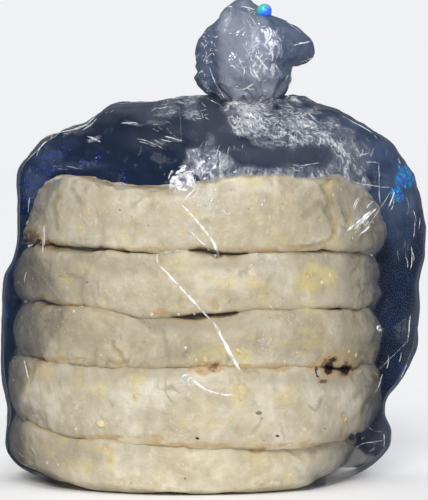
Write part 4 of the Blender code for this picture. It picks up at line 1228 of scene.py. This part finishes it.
def film_material(name, tuft=False):
    g = Graph(name)
    patch, painted_rainbow_glint = g.attribute("patch"), g.attribute("painted_rainbow_glint")
    folds = g.voronoi(2.1, "DISTANCE_TO_EDGE", (1.0, 1.0, 0.6))
    fine = g.voronoi(1.05, "F1", (1.0, 1.0, 0.6))
    long = g.noise(7.0, 4.0, 0.62, 0.9, (1.0, 1.0, 0.5))
    height = g.math("ADD", g.math("MULTIPLY", g.ramp(folds, 0.0, 0.22), 0.55), g.math("MULTIPLY", fine, 0.35))
    height = g.math("ADD", g.math("MULTIPLY", height, g.ramp(patch, 0.0, 1.0, 0.05, 0.8)), g.math("MULTIPLY", long, 0.4))
    if tuft:
        tone, painted_highlight = g.attribute("tone"), g.attribute("painted_highlight")
        facets = g.math("MULTIPLY", g.voronoi(7.0, "DISTANCE_TO_EDGE"), 2.6)
        facets = g.math("ADD", facets, g.math("MULTIPLY", g.voronoi(3.2, "DISTANCE_TO_EDGE"), 1.3))
        height = g.math("ADD", g.math("MULTIPLY", height, 0.6), facets)
        cloud = g.ramp(g.noise(8.0, 3.0, 0.55, 0.9), 0.34, 0.68)
        colour = g.mix(tone, (0.062, 0.088, 0.155), (0.330, 0.352, 0.442))
        colour = g.mix(g.math("MULTIPLY", cloud, 0.55), colour, g.mix(tone, (0.120, 0.148, 0.222), (0.420, 0.430, 0.505)))
        # painted shade: facets darker towards their edges
        plane = g.ramp(g.voronoi(5.0, "F1"), 0.15, 0.75)
        colour = g.mix(g.math("MULTIPLY", plane, 0.30), colour, (0.085, 0.100, 0.150))
        # painted highlight streaks
        streak = g.ramp(g.noise(2.4, 4.0, 0.7, 1.2, (1.0, 1.0, 0.45)), 0.50, 0.64)
        colour = g.mix(g.math("MULTIPLY", streak, painted_highlight), colour, (0.74, 0.77, 0.84))
        alpha = g.math("ADD", g.ramp(tone, 0.0, 1.0, 0.84, 0.72), g.math("MULTIPLY", painted_highlight, 0.2), True)
    else:
        loose, dim, painted_highlight, roll, painted_blue_sparkle, band, gather = (
            g.attribute(k) for k in ("loose", "dim", "painted_highlight", "roll", "painted_blue_sparkle", "band", "gather"))
        # painted highlights and shade of fine upright folds in the crinkled places: broad light and dark, then
        # highlight streaks with dark shade between them
        broad = g.ramp(g.noise(8.0, 3.0, 0.55, 0.8, (1.0, 1.0, 0.7)), 0.34, 0.60, 0.20, 1.0)
        streaks = g.ramp(g.noise(2.3, 4.0, 0.66, 1.1, (1.0, 1.0, 0.42)), 0.40, 0.66)
        hair = g.ramp(g.noise(1.05, 3.0, 0.72, 0.7, (1.0, 1.0, 0.30)), 0.41, 0.60, 0.22, 1.50)
        painted_sheen = g.math("MULTIPLY", patch, g.math("MULTIPLY", g.math("MULTIPLY", broad, streaks), hair), True)
        painted_fold_shade = g.ramp(g.noise(1.5, 3.0, 0.68, 0.8, (1.0, 1.0, 0.34)), 0.46, 0.32)
        colour = g.mix(g.ramp(patch, 0.0, 0.45), (0.030, 0.042, 0.075), (0.098, 0.110, 0.150))
        colour = g.mix(g.math("MULTIPLY", g.math("MULTIPLY", painted_fold_shade, patch), 0.95), colour, (0.014, 0.018, 0.032))
        colour = g.mix(g.math("MULTIPLY", band, 0.9), colour, (0.078, 0.090, 0.124))
        colour = g.mix(g.math("MULTIPLY", gather, g.math("SUBTRACT", 1.0, patch)), colour, (0.022, 0.030, 0.055))
        painted_sheen_colour = g.mix(g.ramp(g.noise(5.0, 3.0, 0.6), 0.40, 0.62), (0.70, 0.73, 0.79), (0.78, 0.78, 0.75))
        colour = g.mix(painted_sheen, colour, painted_sheen_colour)
        colour = g.mix(g.math("MULTIPLY", roll, 0.85), colour, (0.050, 0.056, 0.080))
        # painted highlight: pale flashes where the film is wrinkled over the cakes
        flash = g.math("MULTIPLY", painted_highlight, g.ramp(g.noise(2.0, 4.0, 0.7, 0.9), 0.36, 0.60))
        colour = g.mix(flash, colour, (0.92, 0.93, 0.95))
        # how much the film hides: loose film where it is crinkled, film on the cakes hardly at all
        milky = g.math("MAXIMUM", g.ramp(patch, 0.02, 0.80, 0.06, 0.84), g.math("MULTIPLY", roll, 0.85))
        milky = g.math("MAXIMUM", milky, g.math("MAXIMUM", g.math("MULTIPLY", gather, 0.88), g.math("MULTIPLY", band, 0.92)))
        clear = g.math("ADD", 0.020, g.math("MULTIPLY", painted_sheen, 0.28))
        clear = g.math("ADD", clear, g.math("MULTIPLY", flash, 0.75), True)
        colour = g.mix(g.math("MULTIPLY", dim, g.math("SUBTRACT", 1.0, flash)), colour, (0.040, 0.048, 0.066))
        alpha = g.math("ADD", g.math("MULTIPLY", loose, milky), g.math("MULTIPLY", clear, g.math("SUBTRACT", 1.0, loose)), True)
        alpha = g.math("ADD", alpha, g.math("MULTIPLY", dim, 0.56), True)
        # painted blue sparkles
        painted_sparkle = g.math("MULTIPLY", g.ramp(g.noise(0.62, 3.0, 0.7, 0.4, (1.0, 1.0, 0.8)), 0.590, 0.640), g.ramp(painted_blue_sparkle, 0.03, 0.40))
        colour = g.mix(painted_sparkle, colour, (0.035, 0.12, 0.85))
        alpha = g.math("MAXIMUM", alpha, g.math("MULTIPLY", painted_sparkle, 0.9))
    # painted rainbow glints
    glint = g.math("MULTIPLY", painted_rainbow_glint, g.ramp(g.noise(0.42, 4.0, 0.7, 0.3, (1.0, 1.0, 0.9)), 0.49, 0.56), True)
    shift = g.ramp(g.noise(1.3, 3.0), 0.40, 0.58)
    rainbow = g.mix(shift, (0.03, 0.10, 0.95), (0.0, 0.55, 0.95))
    colour = g.mix(glint, colour, rainbow)
    alpha = g.math("MAXIMUM", alpha, g.math("MULTIPLY", glint, 0.92))
    normal = g.bump(height, 0.00042, 0.8)
    body = g.shader("ShaderNodeBsdfPrincipled", Base_Color=colour, Roughness=0.30, Normal=normal, Alpha=alpha,
                    Specular_IOR_Level=0.0)
    gloss = g.shader("ShaderNodeBsdfGlossy", Color=(1.0, 1.0, 1.0, 1.0), Roughness=0.07, Normal=normal)
    fresnel = g.shader("ShaderNodeFresnel", IOR=1.42, Normal=normal)
    reach = g.ramp(fresnel.outputs["Fac"], 0.02, 0.80, 0.016, 0.045)
    amount = g.math("MULTIPLY", reach, g.ramp(patch, 0.0, 0.6, 1.0 if tuft else 0.30, 2.2), True)
    mixed = g.shader("ShaderNodeMixShader")
    g.set(mixed.inputs[0], amount)
    g.links.new(body.outputs["BSDF"], mixed.inputs[1])
    g.links.new(gloss.outputs["BSDF"], mixed.inputs[2])
    return g.finish(mixed.outputs["Shader"])


def fold_material():
    """Several layers of film pressed together: deep navy, milky in places."""
    g = Graph("folded_film")
    blue, haze, smoke_and_painted_light = (g.attribute(k) for k in ("blue", "haze", "smoke_and_painted_light"))
    cloud = g.ramp(g.noise(17.0, 4.0, 0.6, 0.8), 0.35, 0.68)
    colour = g.mix(cloud, SLATE, NAVY)
    colour = g.mix(blue, colour, DEEP_BLUE)
    veil = g.ramp(g.noise(6.0, 4.0, 0.6, 0.9, (1.0, 1.0, 0.55)), 0.30, 0.66, 0.60, 1.0)
    colour = g.mix(g.math("MULTIPLY", haze, veil), colour, HAZE_BLUE)
    colour = g.mix(g.math("MULTIPLY", smoke_and_painted_light, veil, True), colour, SMOKE)
    # painted light: pale grey where the fold lies in the shade under the bottom cake
    colour = g.mix(g.ramp(smoke_and_painted_light, 0.95, 1.60), colour, (0.560, 0.545, 0.515))
    faint = g.ramp(g.noise(3.0, 4.0, 0.7, 1.0, (1.0, 1.0, 0.4)), 0.56, 0.78, 0.0, 0.14)
    colour = g.mix(faint, colour, HAZE_BLUE)
    height = g.math("ADD", g.noise(6.0, 4.0, 0.62, 0.9, (1.0, 1.0, 0.5)), g.math("MULTIPLY", g.voronoi(3.2, "DISTANCE_TO_EDGE"), 0.3))
    normal = g.bump(height, 0.00042, 0.8)
    body = g.shader("ShaderNodeBsdfPrincipled", Base_Color=colour, Roughness=0.34, Normal=normal, Specular_IOR_Level=0.0)
    gloss = g.shader("ShaderNodeBsdfGlossy", Color=(1.0, 1.0, 1.0, 1.0), Roughness=0.12, Normal=normal)
    mixed = g.shader("ShaderNodeMixShader")
    mixed.inputs[0].default_value = 0.002
    g.links.new(body.outputs["BSDF"], mixed.inputs[1])
    g.links.new(gloss.outputs["BSDF"], mixed.inputs[2])
    return g.finish(mixed.outputs["Shader"])


def painted_rainbow_material():
    g = Graph("painted_rainbow_reflection")
    place = g.nodes.new("ShaderNodeSeparateXYZ")
    g.links.new(g.place, place.inputs["Vector"])
    fx, fz = px(263.5, 12.0)
    # painted reflection: green at the upper left, cyan, then blue below and violet at the upper right
    down = g.math("SUBTRACT", fz * MM, place.outputs["Z"])
    across = g.math("SUBTRACT", place.outputs["X"], fx * MM)
    swirl = g.math("MULTIPLY", g.math("SUBTRACT", g.noise(2.2, 3.0, 0.6, 0.8), 0.5), 0.0016)
    t = g.math("ADD", g.math("ADD", g.math("MULTIPLY", down, 0.75), g.math("MULTIPLY", across, 0.65)), swirl)
    colour = g.mix(g.ramp(t, -0.0013, -0.0002), (0.06, 0.62, 0.42), (0.04, 0.42, 0.80))
    colour = g.mix(g.ramp(t, -0.0002, 0.0009), colour, (0.03, 0.13, 0.85))
    violet = g.math("MULTIPLY", g.ramp(down, -0.0004, -0.0016), g.ramp(across, 0.0, 0.0010))
    colour = g.mix(violet, colour, (0.30, 0.26, 0.72))
    normal = g.bump(g.noise(1.6, 3.0, 0.6), 0.0003, 0.6)
    body = g.shader("ShaderNodeBsdfPrincipled", Base_Color=colour, Roughness=0.16, Alpha=0.92, Normal=normal,
                    Specular_IOR_Level=0.6)
    return g.finish(body.outputs["BSDF"])


def crease_highlight_material():
    g = Graph("painted_crease_highlight")
    # painted highlights along the creases: pale ridges, as opaque as their painted brightness
    painted_brightness = g.attribute("painted_brightness")
    breaks = g.ramp(g.noise(2.2, 4.0, 0.68), 0.36, 0.60, 0.22, 1.0)
    alpha = g.math("MULTIPLY", painted_brightness, breaks, True)
    normal = g.bump(g.noise(1.2, 3.0, 0.6), 0.0002, 0.6)
    body = g.shader("ShaderNodeBsdfPrincipled", Base_Color=(0.90, 0.91, 0.93, 1.0), Roughness=0.18, Alpha=alpha,
                    Normal=normal, Specular_IOR_Level=0.6)
    return g.finish(body.outputs["BSDF"])


def droplet_material():
    g = Graph("water_drops")
    normal = g.bump(g.noise(0.8, 2.0, 0.5), 0.00005, 0.3)
    body = g.shader("ShaderNodeBsdfPrincipled", Base_Color=(0.80, 0.84, 0.88, 1.0), Roughness=0.04, Alpha=0.20,
                    Normal=normal, Specular_IOR_Level=0.7)
    gloss = g.shader("ShaderNodeBsdfGlossy", Color=(1.0, 1.0, 1.0, 1.0), Roughness=0.05, Normal=normal)
    fresnel = g.shader("ShaderNodeFresnel", IOR=1.33)
    mixed = g.shader("ShaderNodeMixShader")
    g.set(mixed.inputs[0], g.math("MULTIPLY", fresnel.outputs["Fac"], 0.8, True))
    g.links.new(body.outputs["BSDF"], mixed.inputs[1])
    g.links.new(gloss.outputs["BSDF"], mixed.inputs[2])
    return g.finish(mixed.outputs["Shader"])


def corn_material():
    g = Graph("corn_bits")
    tone = g.ramp(g.noise(1.5, 4.0, 0.6), 0.32, 0.66)
    colour = g.mix(tone, (0.50, 0.35, 0.150), (0.72, 0.61, 0.37))
    normal = g.bump(g.noise(0.7, 3.0, 0.6), 0.0002, 0.7)
    body = g.shader("ShaderNodeBsdfPrincipled", Base_Color=colour, Roughness=0.35, Normal=normal,
                    Subsurface_Weight=0.2, Subsurface_Radius=(0.0015, 0.001, 0.0005), Subsurface_Scale=1.0)
    return g.finish(body.outputs["BSDF"])


def floor_material():
    g = Graph("floor_pale")
    tone = g.ramp(g.noise(90.0, 3.0, 0.5), 0.3, 0.7)
    colour = g.mix(tone, (0.950, 0.948, 0.945), (0.960, 0.958, 0.955))
    body = g.shader("ShaderNodeBsdfPrincipled", Base_Color=colour, Roughness=0.75)
    return g.finish(body.outputs["BSDF"])


# ================================================================ small things on and under the film
def surface_tree(q):
    rows, cols = q.shape[:2]
    points = [Vector(v) for v in q.reshape(-1, 3)]
    return BVHTree.FromPolygons(points, [tuple(f) for f in grid_faces(rows, cols).tolist()])


def seen_at(tree, x, y, turn=0):
    """The surface's place and normal where the front view shows it, or the view after so many quarter turns."""
    c, s = (1, 0, -1, 0)[turn], (0, 1, 0, -1)[turn]
    eye = Vector((VIEW_FAR * s, -VIEW_FAR * c, VIEW_HIGH))
    fx, fz = px(x, y)
    ray = (Vector((fx * c, fx * s, fz)) - eye).normalized()
    place, normal, _, _ = tree.ray_cast(eye, ray)
    if place is None:
        return None
    if normal.dot(ray) > 0:
        normal = -normal
    return np.array(place), np.array(normal)


def make_creases(name, tree, lines, material):
    """Ridges of doubled film, painted pale as highlights: a low ridge swept along each line, thinner at its ends."""
    points, faces, painted_brightness = [], [], []
    across = (-1.0, -0.55, -0.2, 0.0, 0.2, 0.55, 1.0)
    rise = (-0.10, 0.45, 0.90, 1.0, 0.90, 0.45, -0.10)
    for index, entry in enumerate(lines):
        line, width, height, strength = entry[:4]
        turn = entry[4] if len(entry) > 4 else 0
        line = np.array(line, float)
        lengths = np.concatenate([[0.0], np.cumsum(np.hypot(*np.diff(line, axis=0).T))])
        count = max(6, int(lengths[-1] / 1.1))
        t = np.linspace(0.0, lengths[-1], count)
        xs = along(t, list(zip(lengths, line[:, 0]))) if len(line) > 2 else np.interp(t, lengths, line[:, 0])
        ys = along(t, list(zip(lengths, line[:, 1]))) if len(line) > 2 else np.interp(t, lengths, line[:, 1])
        jitter = noise(np.stack([t * 1.0, np.full(count, 9.0 * index), np.zeros(count)], axis=-1), 6.0, 700)
        hits = [seen_at(tree, x + 0.35 * j, y - 0.35 * j, turn) for x, y, j in zip(xs, ys, jitter)]
        hits = [h for h in hits if h is not None]
        if len(hits) < 4:
            continue
        place = np.array([h[0] for h in hits])
        normal = np.array([h[1] for h in hits])
        for _ in range(3):
            place[1:-1] = 0.25 * place[:-2] + 0.5 * place[1:-1] + 0.25 * place[2:]
            normal[1:-1] = 0.25 * normal[:-2] + 0.5 * normal[1:-1] + 0.25 * normal[2:]
        normal /= np.linalg.norm(normal, axis=1, keepdims=True)
        way = np.gradient(place, axis=0)
        sideways = np.cross(way, normal)
        sideways /= np.maximum(np.linalg.norm(sideways, axis=1, keepdims=True), 1e-9)
        n = len(place)
        u = np.linspace(0.0, 1.0, n)
        taper = np.clip(np.minimum(u, 1.0 - u) * 7.0, 0.0, 1.0) ** 0.7
        swing = 0.75 + 0.45 * noise(np.stack([u * 30.0, np.full(n, 5.0 * index), np.ones(n)], axis=-1), 7.0, 701)
        start = len(points)
        for i in range(n):
            half = 0.5 * width * taper[i] * swing[i] + 0.02
            for a, r in zip(across, rise):
                points.append(place[i] + sideways[i] * a * half + normal[i] * (0.06 + height * r * taper[i] * 0.8))
                painted_brightness.append(strength * (0.35 + 0.65 * taper[i]) * (1.0 if abs(a) < 0.9 else 0.0))
        k = len(across)
        for i in range(n - 1):
            for j in range(k - 1):
                faces.append((start + i * k + j, start + i * k + j + 1, start + (i + 1) * k + j + 1, start + (i + 1) * k + j))
    return make_piece(name, points, faces, material, {"painted_brightness": painted_brightness})


def lump(rings, segments):
    """A unit half-ball on its flat side: points and faces."""
    pts, faces = [(0.0, 0.0, 1.0)], []
    for i in range(1, rings + 1):
        a = 0.5 * math.pi * i / rings
        for j in range(segments):
            b = TAU * j / segments
            pts.append((math.sin(a) * math.cos(b), math.sin(a) * math.sin(b), math.cos(a)))
    for j in range(segments):
        faces.append((0, 1 + j, 1 + (j + 1) % segments))
    for i in range(rings - 1):
        for j in range(segments):
            a, b = 1 + i * segments + j, 1 + i * segments + (j + 1) % segments
            faces.append((a, a + segments, b + segments, b))
    low = 1 + (rings - 1) * segments
    faces.append(tuple(low + j for j in reversed(range(segments))))
    return np.array(pts), faces


def frame_on(normal):
    helper = np.array([0.0, 0.0, 1.0]) if abs(normal[2]) < 0.9 else np.array([1.0, 0.0, 0.0])
    a = np.cross(helper, normal)
    a /= np.linalg.norm(a)
    return a, np.cross(normal, a)


def make_lumps(name, material, places, ragged, flat, rings=4, segments=10):
    """Many small lumps joined in one mesh: place, normal, radius, stretch."""
    unit, unit_faces = lump(rings, segments)
    points, faces = [], []
    for index, (place, normal, radius, stretch) in enumerate(places):
        a, b = frame_on(normal)
        spin = 2.4 * index
        a, b = a * math.cos(spin) + b * math.sin(spin), -a * math.sin(spin) + b * math.cos(spin)
        shape = unit.copy()
        if ragged:
            shape *= (1.0 + ragged * noise(unit * 1.3 + 17.0 * index, 0.9, 720))[:, None]
        world = (place + radius * (shape[:, :1] * a * stretch + shape[:, 1:2] * b / stretch
                                   + shape[:, 2:] * np.asarray(normal) * flat))
        start = len(points)
        points.extend(world.tolist())
        faces.extend([tuple(start + v for v in f) for f in unit_faces])
    return make_piece(name, points, faces, material)


# moisture drops seen on the front: x, y in the front view, radius
DROPS = ((73, 312, 0.46), (59, 310, 0.24), (49, 311, 0.26), (40, 313, 0.22), (66, 288, 0.24), (118, 292, 0.24),
         (151, 315, 0.42), (178, 315, 0.38), (194, 315, 0.26), (126, 309, 0.24), (81, 307, 0.2), (185, 349, 0.42),
         (187, 355, 0.2), (178, 308, 0.18), (176, 282, 0.22), (190, 300, 0.26), (62, 322, 0.2), (67, 326, 0.16),
         (57, 327, 0.18), (72, 327, 0.16), (64, 332, 0.18), (46, 464, 0.36), (57, 466, 0.26), (121, 484, 0.3),
         (75, 430, 0.24), (140, 385, 0.2), (30, 389, 0.18), (13, 381, 0.28), (216, 208, 0.3), (224, 214, 0.24),
         (229, 206, 0.2), (244, 276, 0.24), (262, 262, 0.22), (258, 341, 0.24), (263, 336, 0.2), (270, 352, 0.22),
         (96, 158, 0.2), (20, 261, 0.2), (72, 255, 0.16), (215, 256, 0.34), (208, 250, 0.22), (226, 339, 0.2))


def make_drops(tree, film, material):
    places = []
    for x, y, r in DROPS:
        hit = seen_at(tree, x, y)
        if hit:
            places.append((hit[0] - hit[1] * 0.05, hit[1], r, 1.0 + 0.15 * math.sin(3.0 * x)))
    # more of them, finer, all round the bag
    rows, cols = film.shape[:2]
    n = grid_normals(film)
    index = 0
    while len(places) < 330 and index < 9000:
        index += 1
        i = int((scatter_value(index, 1, 0, 730) * 0.5 + 0.5) * (rows - 50)) + 4
        j = int((scatter_value(index, 2, 0, 730) * 0.5 + 0.5) * (cols - 1))
        p = film[i, j]
        if p[2] < 4.0 or p[2] > 84.0:
            continue
        cluster = float(noise(p, 19.0, 731))
        if cluster < 0.22:
            continue
        r = 0.10 + 0.17 * (scatter_value(index, 3, 0, 730) * 0.5 + 0.5) ** 3
        places.append((p - n[i, j] * 0.04, n[i, j], float(r), 1.0))
    return make_lumps("moisture_drops", material, places, 0.0, 0.62)


# loose bits of corn on the cakes: x, y in the front view, radius, stretch
BITS = ((100, 425, 1.25, 1.0), (21, 319, 1.0, 1.35), (75, 431, 0.5, 1.1), (75, 433, 0.42, 1.0), (103, 450, 0.7, 1.5),
        (134, 397, 0.55, 1.1), (330, 276, 0.7, 1.2), (322, 283, 0.8, 1.1), (309, 277, 0.7, 1.4), (373, 321, 0.5, 1.2),
        (377, 376, 0.7, 1.5), (356, 356, 0.62, 1.2), (349, 352, 0.52, 1.3), (238, 352, 0.8, 1.2), (205, 360, 0.8, 1.3),
        (196, 361, 0.6, 1.2), (240, 400, 0.7, 1.2), (367, 350, 0.8, 1.2), (376, 266, 0.7, 1.4), (80, 229, 0.6, 1.1),
        (346, 420, 0.6, 1.6), (352, 448, 0.6, 1.3), (227, 284, 0.6, 1.3), (121, 484, 0.6, 1.4), (290, 477, 0.7, 1.3))


def make_bits(trees, cakes_q, material):
    places = []
    for x, y, r, stretch in BITS:
        hits = [seen_at(tree, x, y) for tree in trees]
        hits = [h for h in hits if h is not None]
        if hits:
            place, normal = min(hits, key=lambda h: h[0][1])
            places.append((place - normal * r * 0.28, normal, r, stretch))
    for k, q in enumerate(cakes_q):
        n = grid_normals(q)
        rows, cols = q.shape[:2]
        for index in range(26):
            i = 18 + int((scatter_value(index, k, 1, 740) * 0.5 + 0.5) * (rows - 40))
            j = int((scatter_value(index, k, 2, 740) * 0.5 + 0.5) * (cols - 1))
            if q[i, j, 1] < -12.0:
                continue
            r = 0.35 + 0.55 * float(scatter_value(index, k, 3, 740) * 0.5 + 0.5)
            places.append((q[i, j] - n[i, j] * r * 0.3, n[i, j], r, 1.0 + 0.4 * float(scatter_value(index, k, 4, 740) ** 2)))
    return make_lumps("corn_bits", material, places, 0.45, 0.62, 5, 11)


# ================================================================ build the pieces
cake_mats = [cake_material("corn_dough_%d" % (k + 1), tone, warm)
             for k, (tone, warm) in enumerate(((0.870, 0.55), (0.835, 0.60), (0.735, 0.95), (0.915, 0.45), (0.960, 0.65)))]
cakes = make_cakes(cake_mats)
for obj, q in cakes:
    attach(obj, "root")

film_mat = film_material("clear_film")
outline = stack_outline([q for obj, q in cakes])
film, film_q, film_theta = make_film(film_mat, outline)
fold = make_fold(fold_material(), outline, film_q)
for obj in (film, fold):
    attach(obj, "root")

tuft_mat = film_material("tuft_film", tuft=True)
tuft, tuft_q = make_tuft(tuft_mat, "tuft_outer", 1.0, 600, 260, 110, 1.0)
inner, inner_q = make_tuft(tuft_mat, "tuft_inner", 0.72, 640, 150, 60, 0.5)
for obj in (tuft, inner):
    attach(obj, "root")

film_tree = surface_tree(film_q)
crease_highlight_mat = crease_highlight_material()
creases = make_creases("film_crease_highlights", film_tree, list(CREASES) + short_creases() + far_creases(), crease_highlight_mat)
tuft_crease_highlights = make_creases("tuft_crease_highlights", surface_tree(tuft_q), list(TUFT_CREASES) + tuft_sparkles(), crease_highlight_mat)
glint_bead = make_glint_bead(painted_rainbow_material())
drops = make_drops(film_tree, film_q, droplet_material())
for obj in (creases, tuft_crease_highlights, glint_bead, drops):
    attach(obj, "root")
for obj in (film, fold, creases, drops):       # clear film throws no shadow worth the name
    obj.visible_shadow = False
bits = make_bits([surface_tree(q) for obj, q in cakes], [q for obj, q in cakes], corn_material())
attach(bits, "root")

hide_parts("bag")

# ================================================================ floor, light and camera
floor_mesh = bpy.data.meshes.new("floor")
floor_mesh.from_pydata([(-30, -30, -0.0002), (30, -30, -0.0002), (30, 30, -0.0002), (-30, 30, -0.0002)], [], [(0, 1, 2, 3)])
floor_mesh.materials.append(floor_material())
floor = bpy.data.objects.new("floor", floor_mesh)
bpy.context.scene.collection.objects.link(floor)

scene = bpy.context.scene
world = bpy.data.worlds.new("studio")
scene.world = world
world.use_nodes = True
wn, wl = world.node_tree.nodes, world.node_tree.links
wn.clear()
w_out = wn.new("ShaderNodeOutputWorld")
seen, light = wn.new("ShaderNodeBackground"), wn.new("ShaderNodeBackground")
seen.inputs["Color"].default_value = (0.868, 0.880, 0.905, 1.0)
seen.inputs["Strength"].default_value = 1.0
light.inputs["Color"].default_value = (0.80, 0.86, 1.0, 1.0)
light.inputs["Strength"].default_value = 0.26
path = wn.new("ShaderNodeLightPath")
w_mix = wn.new("ShaderNodeMixShader")
wl.new(path.outputs["Is Camera Ray"], w_mix.inputs[0])
wl.new(light.outputs["Background"], w_mix.inputs[1])
wl.new(seen.outputs["Background"], w_mix.inputs[2])
wl.new(w_mix.outputs["Shader"], w_out.inputs["Surface"])


def sun(name, azimuth, elevation, irradiance, angle, colour=(1.0, 1.0, 1.0)):
    """A far, soft light. Azimuth 0 is behind the camera, 90 to its right."""
    data = bpy.data.lights.new(name, "SUN")
    data.energy = irradiance
    data.angle = math.radians(angle)
    data.color = colour
    obj = bpy.data.objects.new(name, data)
    a, e = math.radians(azimuth), math.radians(elevation)
    towards = Vector((math.sin(a) * math.cos(e), -math.cos(a) * math.cos(e), math.sin(e)))
    obj.location = towards
    obj.rotation_mode = "QUATERNION"
    obj.rotation_quaternion = (-towards).to_track_quat("-Z", "Y")
    scene.collection.objects.link(obj)
    return obj


sun("key", -9.0, 28.0, 1.92, 16.0, (1.0, 0.985, 0.955))
sun("fill", 22.0, 14.0, 0.60, 30.0, (0.95, 0.97, 1.0))
sun("glint", 6.0, 44.0, 0.30, 2.5)
sun("top", 20.0, 78.0, 0.80, 40.0)
sun("back_left", -140.0, 32.0, 0.40, 30.0).visible_glossy = False
sun("back_right", 150.0, 28.0, 0.35, 30.0).visible_glossy = False

cam_data = bpy.data.cameras.new("camera")
cam_data.lens = 235.0
cam_data.sensor_width = 36.0
cam_data.clip_start, cam_data.clip_end = 0.05, 60.0
camera = bpy.data.objects.new("camera", cam_data)
camera.location = (0.0, -0.9, 0.088)
camera.rotation_mode = "QUATERNION"
camera.rotation_quaternion = Vector((0.0, 0.9, -0.0252)).to_track_quat("-Z", "Y")
scene.collection.objects.link(camera)
scene.camera = camera

scene.view_settings.view_transform = "Standard"
scene.cycles.transparent_max_bounces = 24
scene.cycles.max_bounces = 8
scene.cycles.sample_clamp_indirect = 4.0
